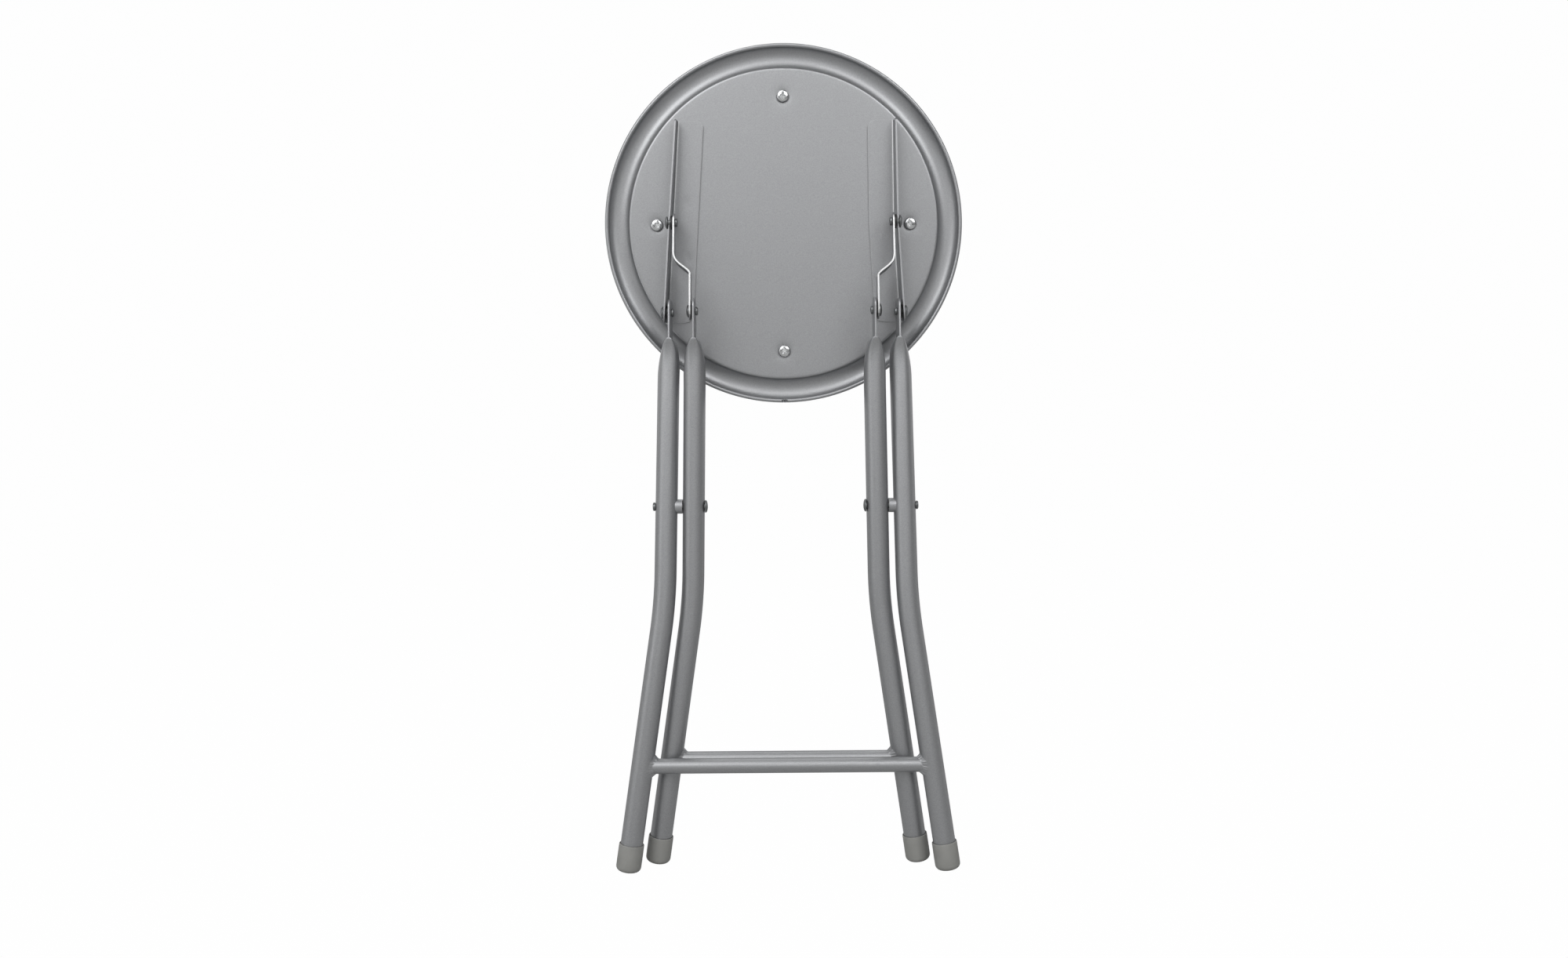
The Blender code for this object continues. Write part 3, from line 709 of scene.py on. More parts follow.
@dataclass
class LegFrame:
    """Two legs of bent tube with their crossbar, welds and foot caps."""

    kind: str
    body: Body
    place: Matrix
    tab: float
    top: float
    bend: float
    foot: float
    bar_z: float
    radius: float = 0.009
    tab_width: float = 0.013
    tab_thickness: float = 0.0010
    tab_rise: float = 0.010
    tab_corner: float = 0.007
    tab_drop: float = 0.022
    flare_end: float = 0.053
    bend_z: float = -0.077
    bend_half: float = 0.024
    top_z: float = 0.100
    top_ease: float = 0.035  # run over which the tube moves out to its tab
    bar_radius: float = 0.006
    cap_radius: float = 0.0101
    cap_height: float = 0.0215
    cap_round: float = LINKAGE.sole_round
    cap_floor: float = 0.0032
    cap_lip: float = 0.0006
    fillet: float = 0.0034
    ripple: float = 0.10  # of the welds, as a share of the fillet
    ripples: int = 22
    sides: int = 64

    @property
    def slope(self) -> float:
        """Outward run of the lower part of a leg for each metre down."""
        return (self.foot - self.bend) / (LINKAGE.leg_reach + self.bend_z)

    def centre(self, z: float) -> float:
        """Find how far a leg's centreline is from the middle plane.

        Args:
            z: Height along the leg from the scissor rivet.

        Returns:
            The distance in metres.
        """
        lower = -self.slope
        upper = (self.top - self.bend) / (self.top_z - self.bend_z)
        if z > self.top_z:
            return self.top + (self.tab - self.top) * smooth((z - self.top_z) / self.top_ease)
        x = self.bend + (upper if z > self.bend_z else lower) * (z - self.bend_z)
        inside = self.bend_half - abs(z - self.bend_z)
        if inside > 0:
            x += (upper - lower) * inside**2 / (4 * self.bend_half)
        return x

    def section(self, z: float) -> tuple[float, float, float]:
        """Half thickness, half width and squareness of a leg at a height.

        Args:
            z: Height along the leg from the scissor rivet.

        Returns:
            The two halves in metres, and a power of 2 or more.
        """
        top = LINKAGE.leg_top
        down = min(max((top - self.tab_drop - z) / (self.flare_end - self.tab_drop), 0), 1)
        flat = 1 - sqrt(1 - (1 - down) ** 2)
        thick = self.radius + (self.tab_thickness - self.radius) * flat
        wide = self.radius + (self.tab_width - self.radius) * smooth(flat * 1.3)
        over = z - top - (self.tab_rise - self.tab_corner)
        if over > 0:
            wide -= self.tab_corner - sqrt(max(self.tab_corner**2 - over**2, 0))
        return thick, wide, 2 + 5 * flat

    def leg(self, side: Side) -> BMesh:
        """A leg: round tube, bent outward low down and pressed flat at the top.

        Args:
            side: Which side it is on.

        Returns:
            The closed leg.
        """
        top = LINKAGE.leg_top
        corner = top + self.tab_rise - self.tab_corner
        flare = self.flare_end - self.tab_drop
        stations = [
            self.cap_floor + GAP - LINKAGE.leg_reach,
            *arc(self.bend_z - self.bend_half, self.bend_z + self.bend_half, 16),
            self.top_z - 0.002,
            *[top - self.flare_end + flare * sin(a) for a in arc(0, pi / 2, 26)],
            *[corner + self.tab_corner * sin(a) for a in arc(0, pi / 2 * 0.97, 10)],
        ]

        def shape(point: Vector) -> Vector:
            z = point.z
            thick, wide, square = self.section(z)
            slope = (self.centre(z + 0.0005) - self.centre(z - 0.0005)) / 0.001
            run = 1 / sqrt(1 + slope**2)
            out = thick * copysign(abs(point.x) ** (2 / square), point.x)
            deep = wide * copysign(abs(point.y) ** (2 / square), point.y)
            return Vector((side.value * (self.centre(z) + out * run), deep, z - out * slope * run))

        bm = tube(stations, self.sides, shape)
        close_ends(bm)
        return bm

    def along(self, side: Side, z: float) -> Matrix:
        """A place on the centreline of a leg's lower part, with the local Z axis up the leg."""
        x = side.value * (self.bend + self.slope * (self.bend_z - z))
        lean = Matrix.Rotation(-side.value * atan2(self.slope, 1), 4, "Y")
        return Matrix.Translation((x, 0, z)) @ lean

    def cap(self) -> BMesh:
        """A foot cap: a cup with a rounded sole, a rolled mouth and the sink of its gate under it.

        Returns:
            The closed cap, with its sole at zero.
        """
        flat, high, wide = self.cap_radius - self.cap_round, self.cap_height, self.cap_radius
        inside, lip, floor = self.radius + GAP, self.cap_lip, self.cap_floor
        gate = [(0.0006, 0), (0.0006, 0.0018), (0, 0.0024)]
        sole = [(self.cap_round * (1 - cos(a)), flat + self.cap_round * sin(a)) for a in arc(0, pi / 2, 12)]
        belly = (high * 0.45, wide + 0.00005)
        mouth = [(high - lip * (1 - sin(a)), wide - lip * (1 - cos(a))) for a in arc(0, pi / 2, 4)]
        cup = [(high, inside + 0.0002), (high - 0.0004, inside), (floor, inside), (floor, 0)]
        return turned([*gate, *sole, belly, *mouth, *cup], self.sides)

    def crossbar(self) -> BMesh:
        """A straight tube whose ends run up to the legs."""
        reach, radius = self.centre(self.bar_z) - self.radius * 0.75, self.bar_radius
        wall = [(x, radius) for x in arc(-reach, reach, 6)]
        return turned([(-reach, 0), *wall, (reach, 0)], 48)

    def weld_section(self, angle: float, ripple: float) -> tuple[float, float]:
        """Section of a hollow fillet of unit leg, as runs along the bar and up the leg's wall.

        Args:
            angle: Place round the section, whose first quarter is the open face.
            ripple: How far the open face swells.

        Returns:
            The two runs, as shares of the fillet's leg.
        """
        if angle <= pi / 2:
            swell = (0.25 + ripple) * sin(2 * angle)
            return 1 - sin(angle) + swell * 0.5, 1 - cos(angle) + swell * 0.5
        back = (angle - pi / 2) / (1.5 * pi)
        root = 1 - abs(2 * back - 1)
        sunk = -0.15 * root
        return (sunk, 1 - root + sunk) if back < 0.5 else (1 - root + sunk, sunk)

    def weld(self, side: Side) -> BMesh:
        """A hand-laid fillet round one end of the crossbar, rippled along its run.

        Args:
            side: Which end of the bar.

        Returns:
            The closed weld.
        """
        seed = 3.1 * side.value + 17 * self.bar_z * 100

        def shape(point: Vector) -> Vector:
            turn = 2 * pi * point.z
            round_bar = Vector((0, sin(turn), cos(turn)))
            lump = noise.noise(Vector((2.4 * round_bar.y, 2.4 * round_bar.z, seed)))
            size = self.fillet * (0.55 + 0.45 * abs(round_bar.z)) * (1 + 0.5 * lump)
            ripple = self.ripple * sin(self.ripples * turn + 3 * lump)
            out, up = self.weld_section(atan2(point.y, point.x) % (2 * pi), ripple)
            deep = round_bar.y * (self.bar_radius + size * up)
            z = self.bar_z + round_bar.z * (self.bar_radius + size * up)
            wall = self.centre(z) - sqrt(self.radius**2 - min(abs(deep), self.radius * 0.97) ** 2)
            return Vector((side.value * (wall - size * out + 0.0002), deep, z))

        bm = tube(arc(0, 1, 144), 20, shape)
        seal(bm)
        return bm

    def build(self) -> None:
        """Make and dress every piece of the frame."""
        kind, place, body = self.kind, self.place, self.body
        for side in Side:
            finish_side(self.leg(side), side, f"{kind}_tube_leg", place, body, SILVER, f"{kind}_leg")
            foot = place @ self.along(side, -LINKAGE.leg_reach)
            finish_side(self.cap(), side, f"{kind}_cap", foot, body, PLASTIC, f"{kind}_foot_cap")
            finish_piece(self.weld(side), f"{side.label}_{kind}_bar_weld", place, body, SILVER, crease=80)
        bar = place @ Matrix.Translation((0, 0, self.bar_z)) @ across(Side.RIGHT)
        finish_piece(self.crossbar(), f"{kind}_bar", bar, body, SILVER, f"{kind}_crossbar")


OUTER_LEGS = LegFrame(
    "outer",
    Body.OUTER_FRAME,
    LINKAGE.outer,
    tab=0.0945,
    top=0.0959,
    bend=0.0989,
    foot=0.1290,
    bar_z=-LINKAGE.bar_drop,
)
INNER_LEGS = LegFrame(
    "inner", Body.INNER_FRAME, LINKAGE.inner, tab=0.0738, top=0.0738, bend=0.0764, foot=0.1073, bar_z=-0.2080
)


# Seat


@dataclass
class SeatPan:
    """The pressed round pan: flat plate, shallow rounded bead and rolled hem."""

    sheet: float = 0.0008
    radius: float = 0.150
    roll: float = 0.0022
    bead: float = 0.0086  # half its width
    bead_depth: float = 0.0062
    bead_centre: float = 0.1385
    bead_lift: float = 0.0010
    hem: float = 0.0016
    hem_depth: float = 0.0006
    dish: float = 0.0008
    dish_flat: float = 0.0042
    dish_reach: float = 0.0023
    dish_edge: float = 0.0135  # radius round a screw inside which the mesh is made finer
    notch: float = 0.0022
    notch_radius: float = 0.0011
    notch_edge: float = 0.0046
    steps: int = 288

    def profile(self) -> list[tuple[float, float]]:
        """Underside from the centre to the hem, then the top side back.

        Returns:
            Points as (along, radius).
        """
        wall = self.bead_centre - self.bead
        arcs = arc(pi, 0, 28)
        plate = [(0.0, r) for r in arc(0, wall - self.roll, 26)]
        lift, centre, rim = self.bead_lift, self.bead_centre, self.radius - self.hem
        roll = [(lift * (1 - cos(a)), wall - self.roll * (1 - sin(a))) for a in arc(0, pi / 2, 9)[1:-1]]
        groove = [(lift + self.bead_depth * sin(a), centre + self.bead * cos(a)) for a in arcs]
        hem = [(-self.hem_depth - self.hem * cos(a), rim + self.hem * sin(a)) for a in arc(-1.9, 2.1, 16)]
        wide, high = self.bead + self.sheet, self.bead_depth + self.sheet
        over = [(lift + high * sin(a), centre + wide * cos(a)) for a in reversed(arcs)]
        shoulder = (1.08 * self.sheet, wall - 1.4 * self.sheet)
        back = [(self.sheet, r) for r in arc(wall - self.roll, 0, 26)]
        return [*plate, *roll, *groove, *hem, *over, shoulder, *back]

    def notch_hem(self, bm: BMesh) -> None:
        """Press the two small marks of the seam into the lowest point of the hem.

        Args:
            bm: The pan's mesh, with its underside toward -Z.
        """
        at = Vector((0, self.radius - self.hem * 0.95))

        def near(vert: BMVert, height: float, reach: float) -> bool:
            return vert.co.z < height and (vert.co.xy - at).length < reach

        run = [e for e in bm.edges if all(near(v, self.sheet / 2, self.notch_edge) for v in e.verts)]
        bmesh.ops.subdivide_edges(bm, edges=run, cuts=7, use_grid_fill=True)
        for vert in bm.verts:
            if near(vert, 0, 0.003):
                mark = Vector((copysign(self.notch_radius, vert.co.x), 0))
                away = (vert.co.xy - at - mark).length / self.notch_radius
                vert.co.z += self.notch * exp(-(away**4))

    def build(self) -> None:
        """Press the pan, dish it under the screws, notch its hem and dress it."""
        bm = turned(self.profile(), self.steps)
        flat = self.bead_centre - self.bead - self.roll
        spots = [Vector((x, y)) * SCREW_CIRCLE for x, y in ((0, 1), (0, -1), (1, 0), (-1, 0))]

        def from_screw(vert: BMVert) -> float:
            return min((vert.co.xy - s).length for s in spots)

        plate = [e for e in bm.edges if all(-self.hem_depth / 4 < v.co.z < self.sheet * 1.5 for v in e.verts)]
        near = [e for e in plate if from_screw(e.verts[0]) < self.dish_edge]
        bmesh.ops.subdivide_edges(bm, edges=near, cuts=4, use_grid_fill=True)
        for vert in bm.verts:
            if vert.co.xy.length < flat:
                away = (from_screw(vert) - self.dish_flat) / self.dish_reach
                vert.co.z += self.dish * exp(-max(away, 0)) * (1 - smooth((away - 2.2) / 1.6))
        self.notch_hem(bm)
        finish_piece(bm, "pressed_seat_pan", LINKAGE.seat @ into_seat(), Body.SEAT, SILVER, "seat_pan")


@dataclass
class Bracket:
    """An angle pressing spot-welded under the pan, with its web toward the front."""

    sheet: float = 0.0013
    top: float = 0.086
    foot: float = -0.082
    root: float = 0.0950
    splay: float = 0.0595
    upper_splay: dict[Side, float] = field(default_factory=lambda: {Side.LEFT: 0.0640, Side.RIGHT: 0.0100})
    flange: float = 0.0232
    bend: float = 0.0034
    web_top: float = 0.0130
    web_foot: float = 0.0278
    web_corner: float = 0.0075
    web_top_corner: float = 0.0030
    flange_corner: float = 0.0065
    dimple: float = 0.0005
    dimple_radius: float = 0.0022
    columns: tuple[int, int, int] = (14, 10, 16)  # cells of the flange, the bend and the web
    welds: dict[Side, tuple[tuple[float, float], ...]] = field(
        default_factory=lambda: {
            Side.LEFT: ((-0.0803, -0.0284), (-0.0806, 0.0176)),
            Side.RIGHT: ((0.0800, -0.0074),),
        }
    )

    def rounded(self, v: float, foot: float, top: float) -> float:
        """Drop of an edge at the bracket's rounded ends.

        Args:
            v: Height up the seat.
            foot: Corner radius at the foot.
            top: Corner radius at the top.

        Returns:
            How far the edge draws in.
        """
        drop = 0.0
        for end, radius in ((self.foot, foot), (self.top, top)):
            inside = radius - abs(v - end)
            if inside > 0:
                drop += radius - sqrt(max(radius**2 - inside**2, 0))
        return drop

    def heights(self) -> list[float]:
        """Rows up the bracket, closer in its rounded corners.

        Returns:
            Heights from the foot to the top.
        """
        reach = self.web_corner
        foot = [self.foot + reach * (1 - cos(a)) for a in arc(0, pi / 2, 10)]
        top = [self.top - reach * (1 - cos(a)) for a in arc(pi / 2, 0, 10)]
        return [*foot, *arc(foot[-1], top[0], 40)[1:-1], *top]

    def build(self, side: Side) -> None:
        """Fold, round and dress the bracket of one side.

        Args:
            side: Which side it is on.
        """
        rows = self.heights()
        flat, fold, web = self.columns
        mid = self.bend - self.sheet / 2

        def shape(column: int, row: int) -> Vector:
            v = rows[row]
            along = (self.top - v) / (self.top - self.foot)
            deep = self.web_top + (self.web_foot - self.web_top) * along
            deep -= self.rounded(v, self.web_corner, self.web_top_corner)
            wide = self.flange - self.rounded(v, self.flange_corner, self.flange_corner)
            if column <= flat:
                inward, down = wide + (self.bend - wide) * column / flat, self.sheet / 2
            elif column < flat + fold:
                a = (column - flat) / fold * pi / 2
                inward, down = self.bend - mid * sin(a), self.bend - mid * cos(a)
            else:
                inward = self.sheet / 2
                down = self.bend + (deep - self.bend) * (column - flat - fold) / web
            splay = self.upper_splay[side] if v > 0 else self.splay
            x = side.value * (self.root - splay * v - inward)
            away = [hypot(x - wx, v - wz) / self.dimple_radius for wx, wz in self.welds[side]]
            sunk = sum(self.dimple * exp(-(a**2)) for a in away) if column <= flat else 0
            return Vector((x, -GAP - down + sunk, v))

        bm = strip(flat + fold + web, len(rows) - 1, shape, self.sheet)
        # The flange's rounded edges take the paler edge coat, a painted highlight along them.
        for face in bm.faces:
            at = face.calc_center_median()
            on_flange = at.y > -GAP - 1.2 * self.sheet
            face.material_index = int(on_flange and 0.15 < abs(face.normal.y) < 0.97)
        obj = finish_side(bm, side, "angle_bracket", LINKAGE.seat, Body.SEAT, SILVER, "seat_bracket")
        obj.data.materials.append(EDGE_COAT_AND_HIGHLIGHT.material())


@dataclass
class CushionScrew:
    """A pan-head screw with a cross recess, driven from under the pan into the board."""

    head: float = 0.0050
    height: float = 0.0024
    shank: float = 0.0020
    length: float = 0.0068
    reach: float = 0.0028  # of the recess, and the two sizes below it
    half: float = 0.00075
    depth: float = 0.0016

    def recess(self) -> BMesh:
        """The cross recess as a cutter, narrower at its floor.

        Returns:
            The closed cutter.
        """
        bm = bmesh.new()
        bmesh.ops.create_grid(bm, x_segments=3, y_segments=3, size=1.5)
        for vert in bm.verts:
            for axis in (0, 1):
                wide = self.reach if abs(vert.co[axis]) > 1 else self.half
                vert.co[axis] = copysign(wide, vert.co[axis])
        middles = {f: f.calc_center_median() for f in bm.faces}
        corners = [f for f, at in middles.items() if min(abs(at.x), abs(at.y)) > self.half]
        bmesh.ops.delete(bm, geom=corners, context="FACES")
        made = bmesh.ops.extrude_face_region(bm, geom=bm.faces[:], use_keep_orig=True)
        floor = [v for v in made["geom"] if isinstance(v, BMVert)]
        bmesh.ops.scale(bm, vec=(0.62, 0.62, 1), verts=floor)
        top = -GAP - self.height
        for vert in bm.verts:
            vert.co.z = top + (self.depth if vert in floor else -0.0004)
        bmesh.ops.recalc_face_normals(bm, faces=bm.faces)
        return bm

    def build(self, name: str, x: float, z: float, spin: float) -> None:
        """Make and dress a screw.

        Args:
            name: Which of the four screws it is.
            x: Place across the seat.
            z: Place up the seat.
            spin: Turn of its recess in degrees, as it was driven.
        """
        high, wide, shank, length = self.height, self.head, self.shank, self.length
        turns = arc(0, pi / 2 * 0.995, 16)
        dome = [(-GAP - high * (0.18 + 0.82 * cos(a) ** 0.7), wide * sin(a)) for a in turns]
        stem = [(-GAP, wide * 0.98), (-GAP, shank), (length - 0.0015, shank), (length, 0)]
        bm = carved(turned([*dome, *stem], 64), self.recess())
        driven = Matrix.Rotation(radians(spin), 4, "Z")
        place = LINKAGE.seat @ Matrix.Translation((x, 0, z)) @ into_seat() @ driven
        finish_piece(bm, f"{name}_seat_screw", place, Body.SEAT, ZINC, f"cushion_screw_{name}", crease=30)


@dataclass
class Cushion:
    """The foam pad in its vinyl cover, drawn down over the board."""

    start: float = 0.0011
    voxel: float = 0.0045
    swell: float = 0.004
    frames: int = 20
    smoothing: int = 8
    held_rise: float = 0.004
    pleat: float = 0.006
    pleat_rise: float = 0.012
    foot: float = 0.1268
    foot_rise: float = 0.0100
    board_start: float = 0.0023
    board_end: float = 0.0073
    board_radius: float = 0.1240
    board_edge: float = 0.0006
    outline: tuple[tuple[float, float], ...] = (
        (0.0002, 0.1270),
        (0.0060, 0.1276),
        (0.0125, 0.1282),
        (0.0180, 0.1264),
        (0.0222, 0.1190),
        (0.0250, 0.1010),
        (0.0272, 0.0620),
        (0.0280, 0.0),
    )

    def blank(self) -> BMesh:
        """The pad a little smaller than it ends, before it swells."""
        outside = [(self.start + along, radius) for along, radius in self.outline]
        return turned([(self.start, 0.0), *outside], 96)

    def padded(self) -> BMesh:
        """Swell the blank as cloth over foam, held where the cover goes under the board.

        Returns:
            The swollen pad.
        """
        obj = as_object(self.blank(), "cushion_blank")
        grid = obj.modifiers.new("grid", "REMESH")
        grid.mode = "VOXEL"
        grid.voxel_size = self.voxel
        bm = evaluated(obj)
        rest = [v.co.copy() for v in bm.verts]
        obj = as_object(bm, "cushion_cloth")
        held = obj.vertex_groups.new(name="held")
        held.add([i for i, co in enumerate(rest) if co.z < self.start + self.held_rise], 1.0, "REPLACE")
        cloth = obj.modifiers.new("cloth", "CLOTH")
        cover = cloth.settings
        cover.vertex_group_mass = "held"
        cover.use_pressure = True
        cover.uniform_pressure_force = 4.0
        cover.tension_stiffness = 20
        cover.compression_stiffness = 20
        cover.bending_stiffness = 2
        cover.effector_weights.gravity = 0
        scene = bpy.context.scene
        for step in range(1, self.frames + 1):
            scene.frame_set(step)
        bm = evaluated(obj)
        scene.frame_set(1)
        for vert, co in zip(bm.verts, rest):
            moved = vert.co - co
            if moved.length > self.swell:
                vert.co = co + moved * (self.swell / moved.length)
        return bm

    def board(self) -> BMesh:
        """The plywood disc inside the foot of the cushion, with its edge eased.

        Returns:
            The closed disc.
        """
        low, high, radius = self.board_start, self.board_end, self.board_radius
        bm = turned([(low, 0), (low, radius), (high, radius), (high, 0)], 128)
        soften(bm, self.board_edge)
        return bm

    def build(self) -> None:
        """Make and dress the board and the cushion."""
        place = LINKAGE.seat @ into_seat()
        finish_piece(self.board(), "plywood_seat_board", place, Body.SEAT, PLYWOOD, "cushion_board")
        bm = self.padded()
        axes = {"use_axis_x": True, "use_axis_y": True, "use_axis_z": True}
        for _ in range(self.smoothing):
            bmesh.ops.smooth_vert(bm, verts=bm.verts, factor=0.5, **axes)
        for vert in bm.verts:
            radius, turn = vert.co.xy.length, atan2(vert.co.y, vert.co.x)
            low = smooth((self.start + self.pleat_rise - vert.co.z) / self.pleat_rise)
            low *= smooth((radius - 0.10) / 0.02)
            wave = noise.noise(Vector((9 * cos(turn), 9 * sin(turn), 4 * vert.co.z)))
            vert.co.xy *= 1 + self.pleat * low * wave
            vert.co.z = max(vert.co.z, self.start)
            height = vert.co.z - self.start
            if radius > 0.9 * self.foot and 0.0008 < height < self.foot_rise:
                vert.co.xy *= max(self.foot / vert.co.xy.length, 1)
        nodes = ("cushion_cover", "cushion_foam")
        obj = finish_piece(bm, "padded_seat", place, Body.SEAT, VINYL, *nodes, crease=60)
        finer = obj.modifiers.new("finer", "SUBSURF")
        finer.levels = 1
        finer.render_levels = 1


@dataclass
class Seat:
    """The seat with all that moves with it."""

    pan: SeatPan = field(default_factory=SeatPan)
    bracket: Bracket = field(default_factory=Bracket)
    screw: CushionScrew = field(default_factory=CushionScrew)
    cushion: Cushion = field(default_factory=Cushion)

    def build(self) -> None:
        """Make and dress the pan, its brackets, its screws and the cushion."""
        self.pan.build()
        for side in Side:
            self.bracket.build(side)
        places = (("top", 0, 1, 8), ("bottom", 0, -1, 31), ("left", -1, 0, 52), ("right", 1, 0, 20))
        for name, x, z, spin in places:
            self.screw.build(name, x * SCREW_CIRCLE, z * SCREW_CIRCLE, spin)
        self.cushion.build()

    def web_face(self, v: float, way: int) -> float:
        """Outer or inner face of a bracket's web at a pivot, at its nearest within a washer's reach."""
        middle = self.bracket.root - self.bracket.splay * v
        slack = self.bracket.splay * RIVET.washer_radius
        return middle + slack if way > 0 else middle - self.bracket.sheet - slack


# Links and pivots


@dataclass
class Links:
    """The two joggled links."""

    sheet: float = 0.0013
    half_width: float = 0.0075
    upper: float = 0.0903
    lower: float = 0.0769
    joggle_start: dict[Side, float] = field(
        default_factory=lambda: {Side.LEFT: -0.0245, Side.RIGHT: -0.0270}
    )
    joggle_length: float = 0.0195
    joggle_ease: float = 1.6
    columns: int = 12

    def middle(self, z: float, side: Side) -> float:
        """Distance of the strip's middle surface from the middle plane."""
        t = min(max((self.joggle_start[side] - z) / self.joggle_length, 0), 1)
        return self.upper + (self.lower - self.upper) * smooth(t**self.joggle_ease)

    def build(self, side: Side) -> None:
        """Cut, joggle and dress the link of one side.

        Args:
            side: Which side it is on.
        """
        length = LINKAGE.link_length
        ends = [self.half_width * cos(a) for a in arc(0.04, pi / 2, 12)]
        start = self.joggle_start[side]
        end = start - self.joggle_length
        rows = [
            *ends,
            *arc(0, start, 4)[1:-1],
            *arc(start, end, 28),
            *arc(end, -length, 5)[1:-1],
            *[-length - e for e in reversed(ends)],
        ]

        def shape(column: int, row: int) -> Vector:
            z = rows[row]
            past = max(z, -length - z, 0)
            wide = sqrt(self.half_width**2 - past**2)
            deep = wide * (2 * column / self.columns - 1)
            return Vector((side.value * self.middle(z, side), deep, z))

        bm = strip(self.columns, len(rows) - 1, shape, self.sheet)
        # The link's cut edges, front and back, take the paler edge coat: partly bare metal, partly a painted
        # highlight.
        for face in bm.faces:
            face.material_index = int(abs(face.normal.y) > 0.9)
        obj = finish_side(bm, side, "joggled_link", LINKAGE.link, Body.LINKS, SILVER, "link")
        obj.data.materials.append(EDGE_COAT_AND_HIGHLIGHT.material())


@dataclass
class Pivots:
    """The rivets, washers and spacers at the four pivots of each side."""

    seat: Seat
    links: Links
    leg_washer_radius: float = 0.0064
    spacer_radius: float = 0.00585

    def scissor(self, side: Side) -> None:
        """The rivet through the crossing legs and the spacer between them.

        Args:
            side: Which side it is on.
        """
        place, body = LINKAGE.outer @ across(side), Body.OUTER_FRAME
        inner, outer = INNER_LEGS.centre(0), OUTER_LEGS.centre(0)
        bm = RIVET.whole(inner - INNER_LEGS.radius, outer + OUTER_LEGS.radius)
        finish_side(bm, side, "crossing_rivet", place, body, RIVET_ZINC, "scissor_rivet")
        low, high = inner + INNER_LEGS.radius + GAP, outer - 0.8 * OUTER_LEGS.radius
        hole, rim = RIVET.hole, self.spacer_radius
        bm = turned([(low, hole), (high, hole), (high, rim), (low, rim)], RIVET.washer_steps, ring=True)
        finish_side(bm, side, "crossing_spacer", place, body, SILVER, "scissor_spacer")

    def outer_leg(self, side: Side) -> None:
        """The rivet and washer that hold an outer leg to its bracket.

        Args:
            side: Which side it is on.
        """
        length, body = LINKAGE.link_length, Body.OUTER_FRAME
        place = LINKAGE.outer @ Matrix.Translation((0, 0, LINKAGE.leg_top)) @ across(side)
        tab, thick = OUTER_LEGS.tab, OUTER_LEGS.tab_thickness
        bm = RIVET.whole(self.seat.web_face(-length, 1), tab - thick)
        finish_side(bm, side, "hinge_rivet", place, body, RIVET_ZINC, "seat_hinge_rivet")
        bm = RIVET.washer(tab + thick + GAP, self.seat.web_face(-length, -1) - GAP, RIVET.washer_radius)
        finish_side(bm, side, "hinge_washer", place, body, NYLON, "seat_hinge_washer")

    def link_top(self, side: Side) -> None:
        """The rivet and washer that hold a link to its bracket.

        Args:
            side: Which side it is on.
        """
        place, body = LINKAGE.link @ across(side), Body.LINKS
        upper, half = self.links.upper, self.links.sheet / 2
        bm = RIVET.whole(self.seat.web_face(0, 1), upper - half)
        finish_side(bm, side, "upper_rivet", place, body, RIVET_ZINC, "link_pivot_rivet")
        bm = RIVET.washer(upper + half + GAP, self.seat.web_face(0, -1) - GAP, RIVET.washer_radius)
        finish_side(bm, side, "upper_washer", place, body, NYLON, "link_pivot_washer")

    def inner_leg(self, side: Side) -> None:
        """The rivet and washer between a link and an inner leg, parted where they meet.

        Args:
            side: Which side it is on.
        """
        tab, thick, half = INNER_LEGS.tab, INNER_LEGS.tab_thickness, self.links.sheet / 2
        shear, shank, steps = tab + thick + GAP, RIVET.shank, RIVET.steps
        head, tail = self.links.lower + half + GAP, tab - thick - GAP
        place = LINKAGE.link @ Matrix.Translation((0, 0, -LINKAGE.link_length)) @ across(side)
        bm = turned([*RIVET.head(head, 1), (head, shank), (shear, shank), (shear, 0)], steps)
        finish_side(bm, side, "lower_rivet", place, Body.LINKS, RIVET_ZINC, "link_leg_rivet")
        bm = RIVET.washer(shear, self.links.lower - half - GAP, self.leg_washer_radius)
        finish_side(bm, side, "lower_washer", place, Body.LINKS, NYLON, "link_leg_washer")
        place = LINKAGE.inner @ Matrix.Translation((0, 0, LINKAGE.leg_top)) @ across(side)
        bm = turned([(shear - GAP, 0), (shear - GAP, shank), (tail, shank), *RIVET.tail(tail, -1)], steps)
        body = Body.INNER_FRAME
        finish_side(bm, side, "lower_rivet_end", place, body, RIVET_ZINC, "inner_leg_rivet_tail")

    def build(self) -> None:
        """Make and dress every pivot."""
        for side in Side:
            self.scissor(side)
            self.outer_leg(side)
            self.link_top(side)
            self.inner_leg(side)


# Studio


@dataclass
class Lamp:
    """A square soft lamp aimed at the stool."""

    name: str
    place: tuple[float, float, float]
    size: float
    power: float
    aim: tuple[float, float, float] = (0.0, 0.0, 0.40)

    def build(self) -> None:
        """Hang the lamp."""
        light = bpy.data.lights.new(self.name, "AREA")
        light.shape = "SQUARE"
        light.size = self.size
        light.energy = self.power
        lamp = bpy.data.objects.new(self.name, light)
        lamp.location = self.place
        way = Vector(self.aim) - Vector(self.place)
        lamp.rotation_euler = way.to_track_quat("-Z", "Y").to_euler()
        bpy.context.scene.collection.objects.link(lamp)


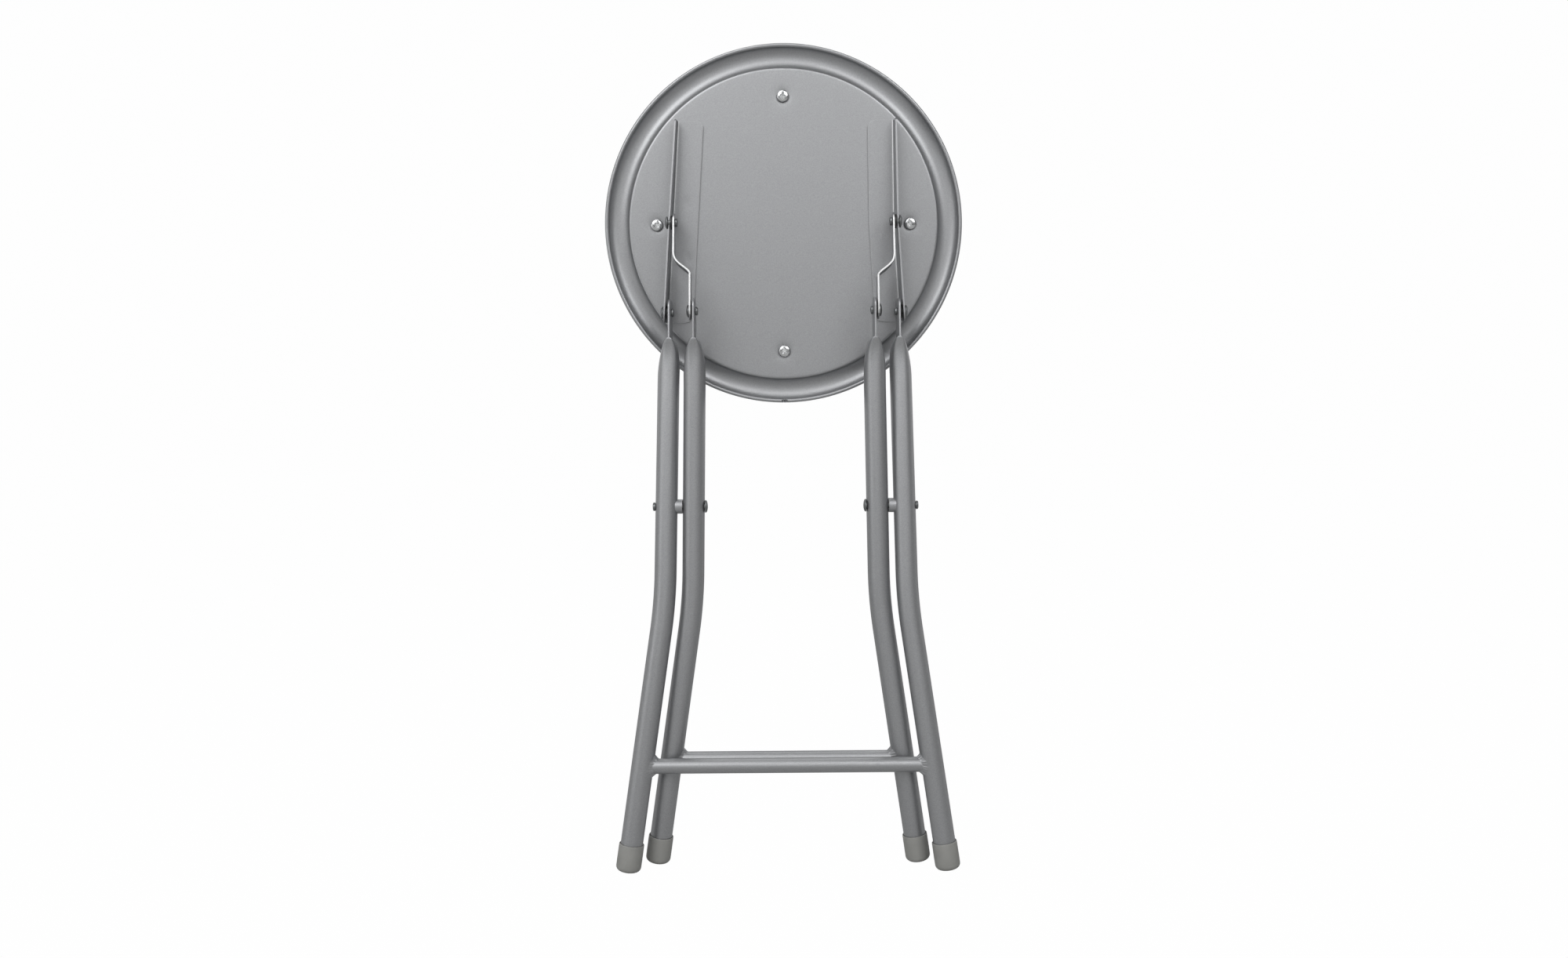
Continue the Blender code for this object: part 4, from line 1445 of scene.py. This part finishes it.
@dataclass
class Studio:
    """A pale floor, soft lamps, a pale world and the camera of the photograph."""

    camera_ahead: float = 0.976
    camera_rise: float = 0.0577
    camera_x: float = -0.0028
    pitch: float = 1.29  # looking up
    yaw: float = 0.12
    roll: float = -0.41
    focal_px: float = 1515.0
    centre_px: float = 89.7
    width_px: float = 2000.0
    sensor_mm: float = 36.0
    floor_radius: float = 12.0
    white: float = 0.99  # what the eye sees of the floor and the world
    floor_in_metal: float = 0.17
    ahead: float = 0.06  # the world in metal, in front of the stool
    overhead: float = 0.15  # and above it
    ambient: float = 0.12  # the world as light
    lamps: tuple[Lamp, ...] = (
        Lamp("upper_left_lamp", (-1.05, -1.80, 1.60), 1.3, 27),
        Lamp("upper_right_lamp", (1.05, -1.80, 1.60), 1.3, 23),
        Lamp("top_lamp", (-0.15, -0.5, 1.45), 0.6, 1.7),
        Lamp("low_left_lamp", (-2.077, -1.199, 0.484), 1.0, 6),
        Lamp("low_front_lamp", (0.0, -2.4, 0.484), 1.0, 3),
        Lamp("back_left_lamp", (-0.636, 1.101, 2.435), 1.0, 8),
        Lamp("back_right_lamp", (0.636, 1.101, 2.435), 1.0, 8),
    )

    def camera(self) -> None:
        """Set the camera where the photograph was taken."""
        pitch, yaw, roll = radians(self.pitch), radians(self.yaw), radians(self.roll)
        ahead = Vector((sin(yaw) * cos(pitch), cos(yaw) * cos(pitch), sin(pitch)))
        level = Vector((cos(yaw), -sin(yaw), 0))
        above = level.cross(ahead)
        right = level * cos(roll) + above * sin(roll)
        up = above * cos(roll) - level * sin(roll)
        data = bpy.data.cameras.new("camera")
        data.sensor_width = self.sensor_mm
        data.lens = self.sensor_mm * self.focal_px / self.width_px
        data.shift_y = -self.centre_px / self.width_px
        obj = bpy.data.objects.new("camera", data)
        turn = Matrix((right, up, -ahead)).transposed().to_4x4()
        at = LINKAGE.scissor + Vector((self.camera_x, -self.camera_ahead, self.camera_rise))
        obj.matrix_world = Matrix.Translation(at) @ turn
        bpy.context.scene.collection.objects.link(obj)
        bpy.context.scene.camera = obj

    def floor(self) -> None:
        """A pale floor that reads white to the eye and keeps the stool's shadow."""
        bm = bmesh.new()
        bmesh.ops.create_circle(bm, cap_ends=True, segments=96, radius=self.floor_radius)
        obj = as_object(bm, "pale_floor")
        made = bpy.data.materials.new("white_paper_floor")
        made.use_nodes = True
        tree = made.node_tree
        tree.nodes.remove(tree.nodes["Principled BSDF"])
        rays = add_node(tree, "LightPath").outputs
        glossy = {0: rays["Is Glossy Ray"], 1: self.floor_in_metal}
        mirrored = add_node(tree, "Math", {"operation": "MULTIPLY", **glossy})
        seen = add_node(tree, "Math", {"operation": "MAXIMUM", 0: rays["Is Camera Ray"], 1: mirrored})
        share = add_node(tree, "Math", {"operation": "MULTIPLY", 0: seen, 1: self.white})
        paper = add_node(tree, "BsdfDiffuse", {"Color": linear("#b4b4b3")})
        glow = add_node(tree, "Emission", {"Strength": 1.0})
        mixed = add_node(tree, "MixShader", {0: share, 1: paper, 2: glow})
        feed(tree, tree.nodes["Material Output"], {"Surface": mixed})
        obj.data.materials.append(made)

    def world(self) -> None:
        """A world that the eye sees white.

        Metal sees it white behind the stool, dim ahead and dimmer overhead. As light it is soft and weak.
        """
        world = bpy.data.worlds.new("pale_world")
        bpy.context.scene.world = world
        world.use_nodes = True
        tree = world.node_tree
        rays = add_node(tree, "LightPath").outputs
        eyes = {0: rays["Is Camera Ray"], 1: rays["Is Transmission Ray"]}
        seen = add_node(tree, "Math", {"operation": "MAXIMUM", **eyes})
        look = add_node(tree, "TexCoord").outputs["Generated"]
        way = add_node(tree, "SeparateXYZ", {"Vector": look}).outputs
        back = {"From Min": -0.25, "From Max": 0.25, "To Min": self.ahead, "To Max": 1.0}
        behind = add_node(tree, "MapRange", {"Value": way["Y"], **back})
        ceiling = {"From Min": 0.2, "From Max": 0.6, "To Min": 1.0, "To Max": self.overhead}
        below = add_node(tree, "MapRange", {"Value": way["Z"], **ceiling})
        around = add_node(tree, "Math", {"operation": "MULTIPLY", 0: behind, 1: below})
        mirrored = add_node(tree, "Math", {"operation": "MULTIPLY", 0: around, 1: rays["Is Glossy Ray"]})
        bright = add_node(tree, "Math", {"operation": "MAXIMUM", 0: seen, 1: mirrored})
        strength = add_node(tree, "Math", {"operation": "MAXIMUM", 0: bright, 1: self.ambient})
        colour = (self.white, self.white, self.white, 1)
        feed(tree, tree.nodes["Background"], {"Color": colour, "Strength": strength})

    def build(self) -> None:
        """Set up the camera, the floor, the lamps and the world."""
        self.camera()
        self.floor()
        for lamp in self.lamps:
            lamp.build()
        self.world()
        bpy.context.scene.view_settings.view_transform = "Standard"


def main() -> None:
    """Build the stool and its studio."""
    logging.basicConfig(level=logging.INFO, format="%(name)s: %(message)s")
    Studio().build()
    OUTER_LEGS.build()
    INNER_LEGS.build()
    seat, links = Seat(), Links()
    seat.build()
    for side in Side:
        links.build(side)
    Pivots(seat, links).build()


if __name__ == "__main__":
    main()
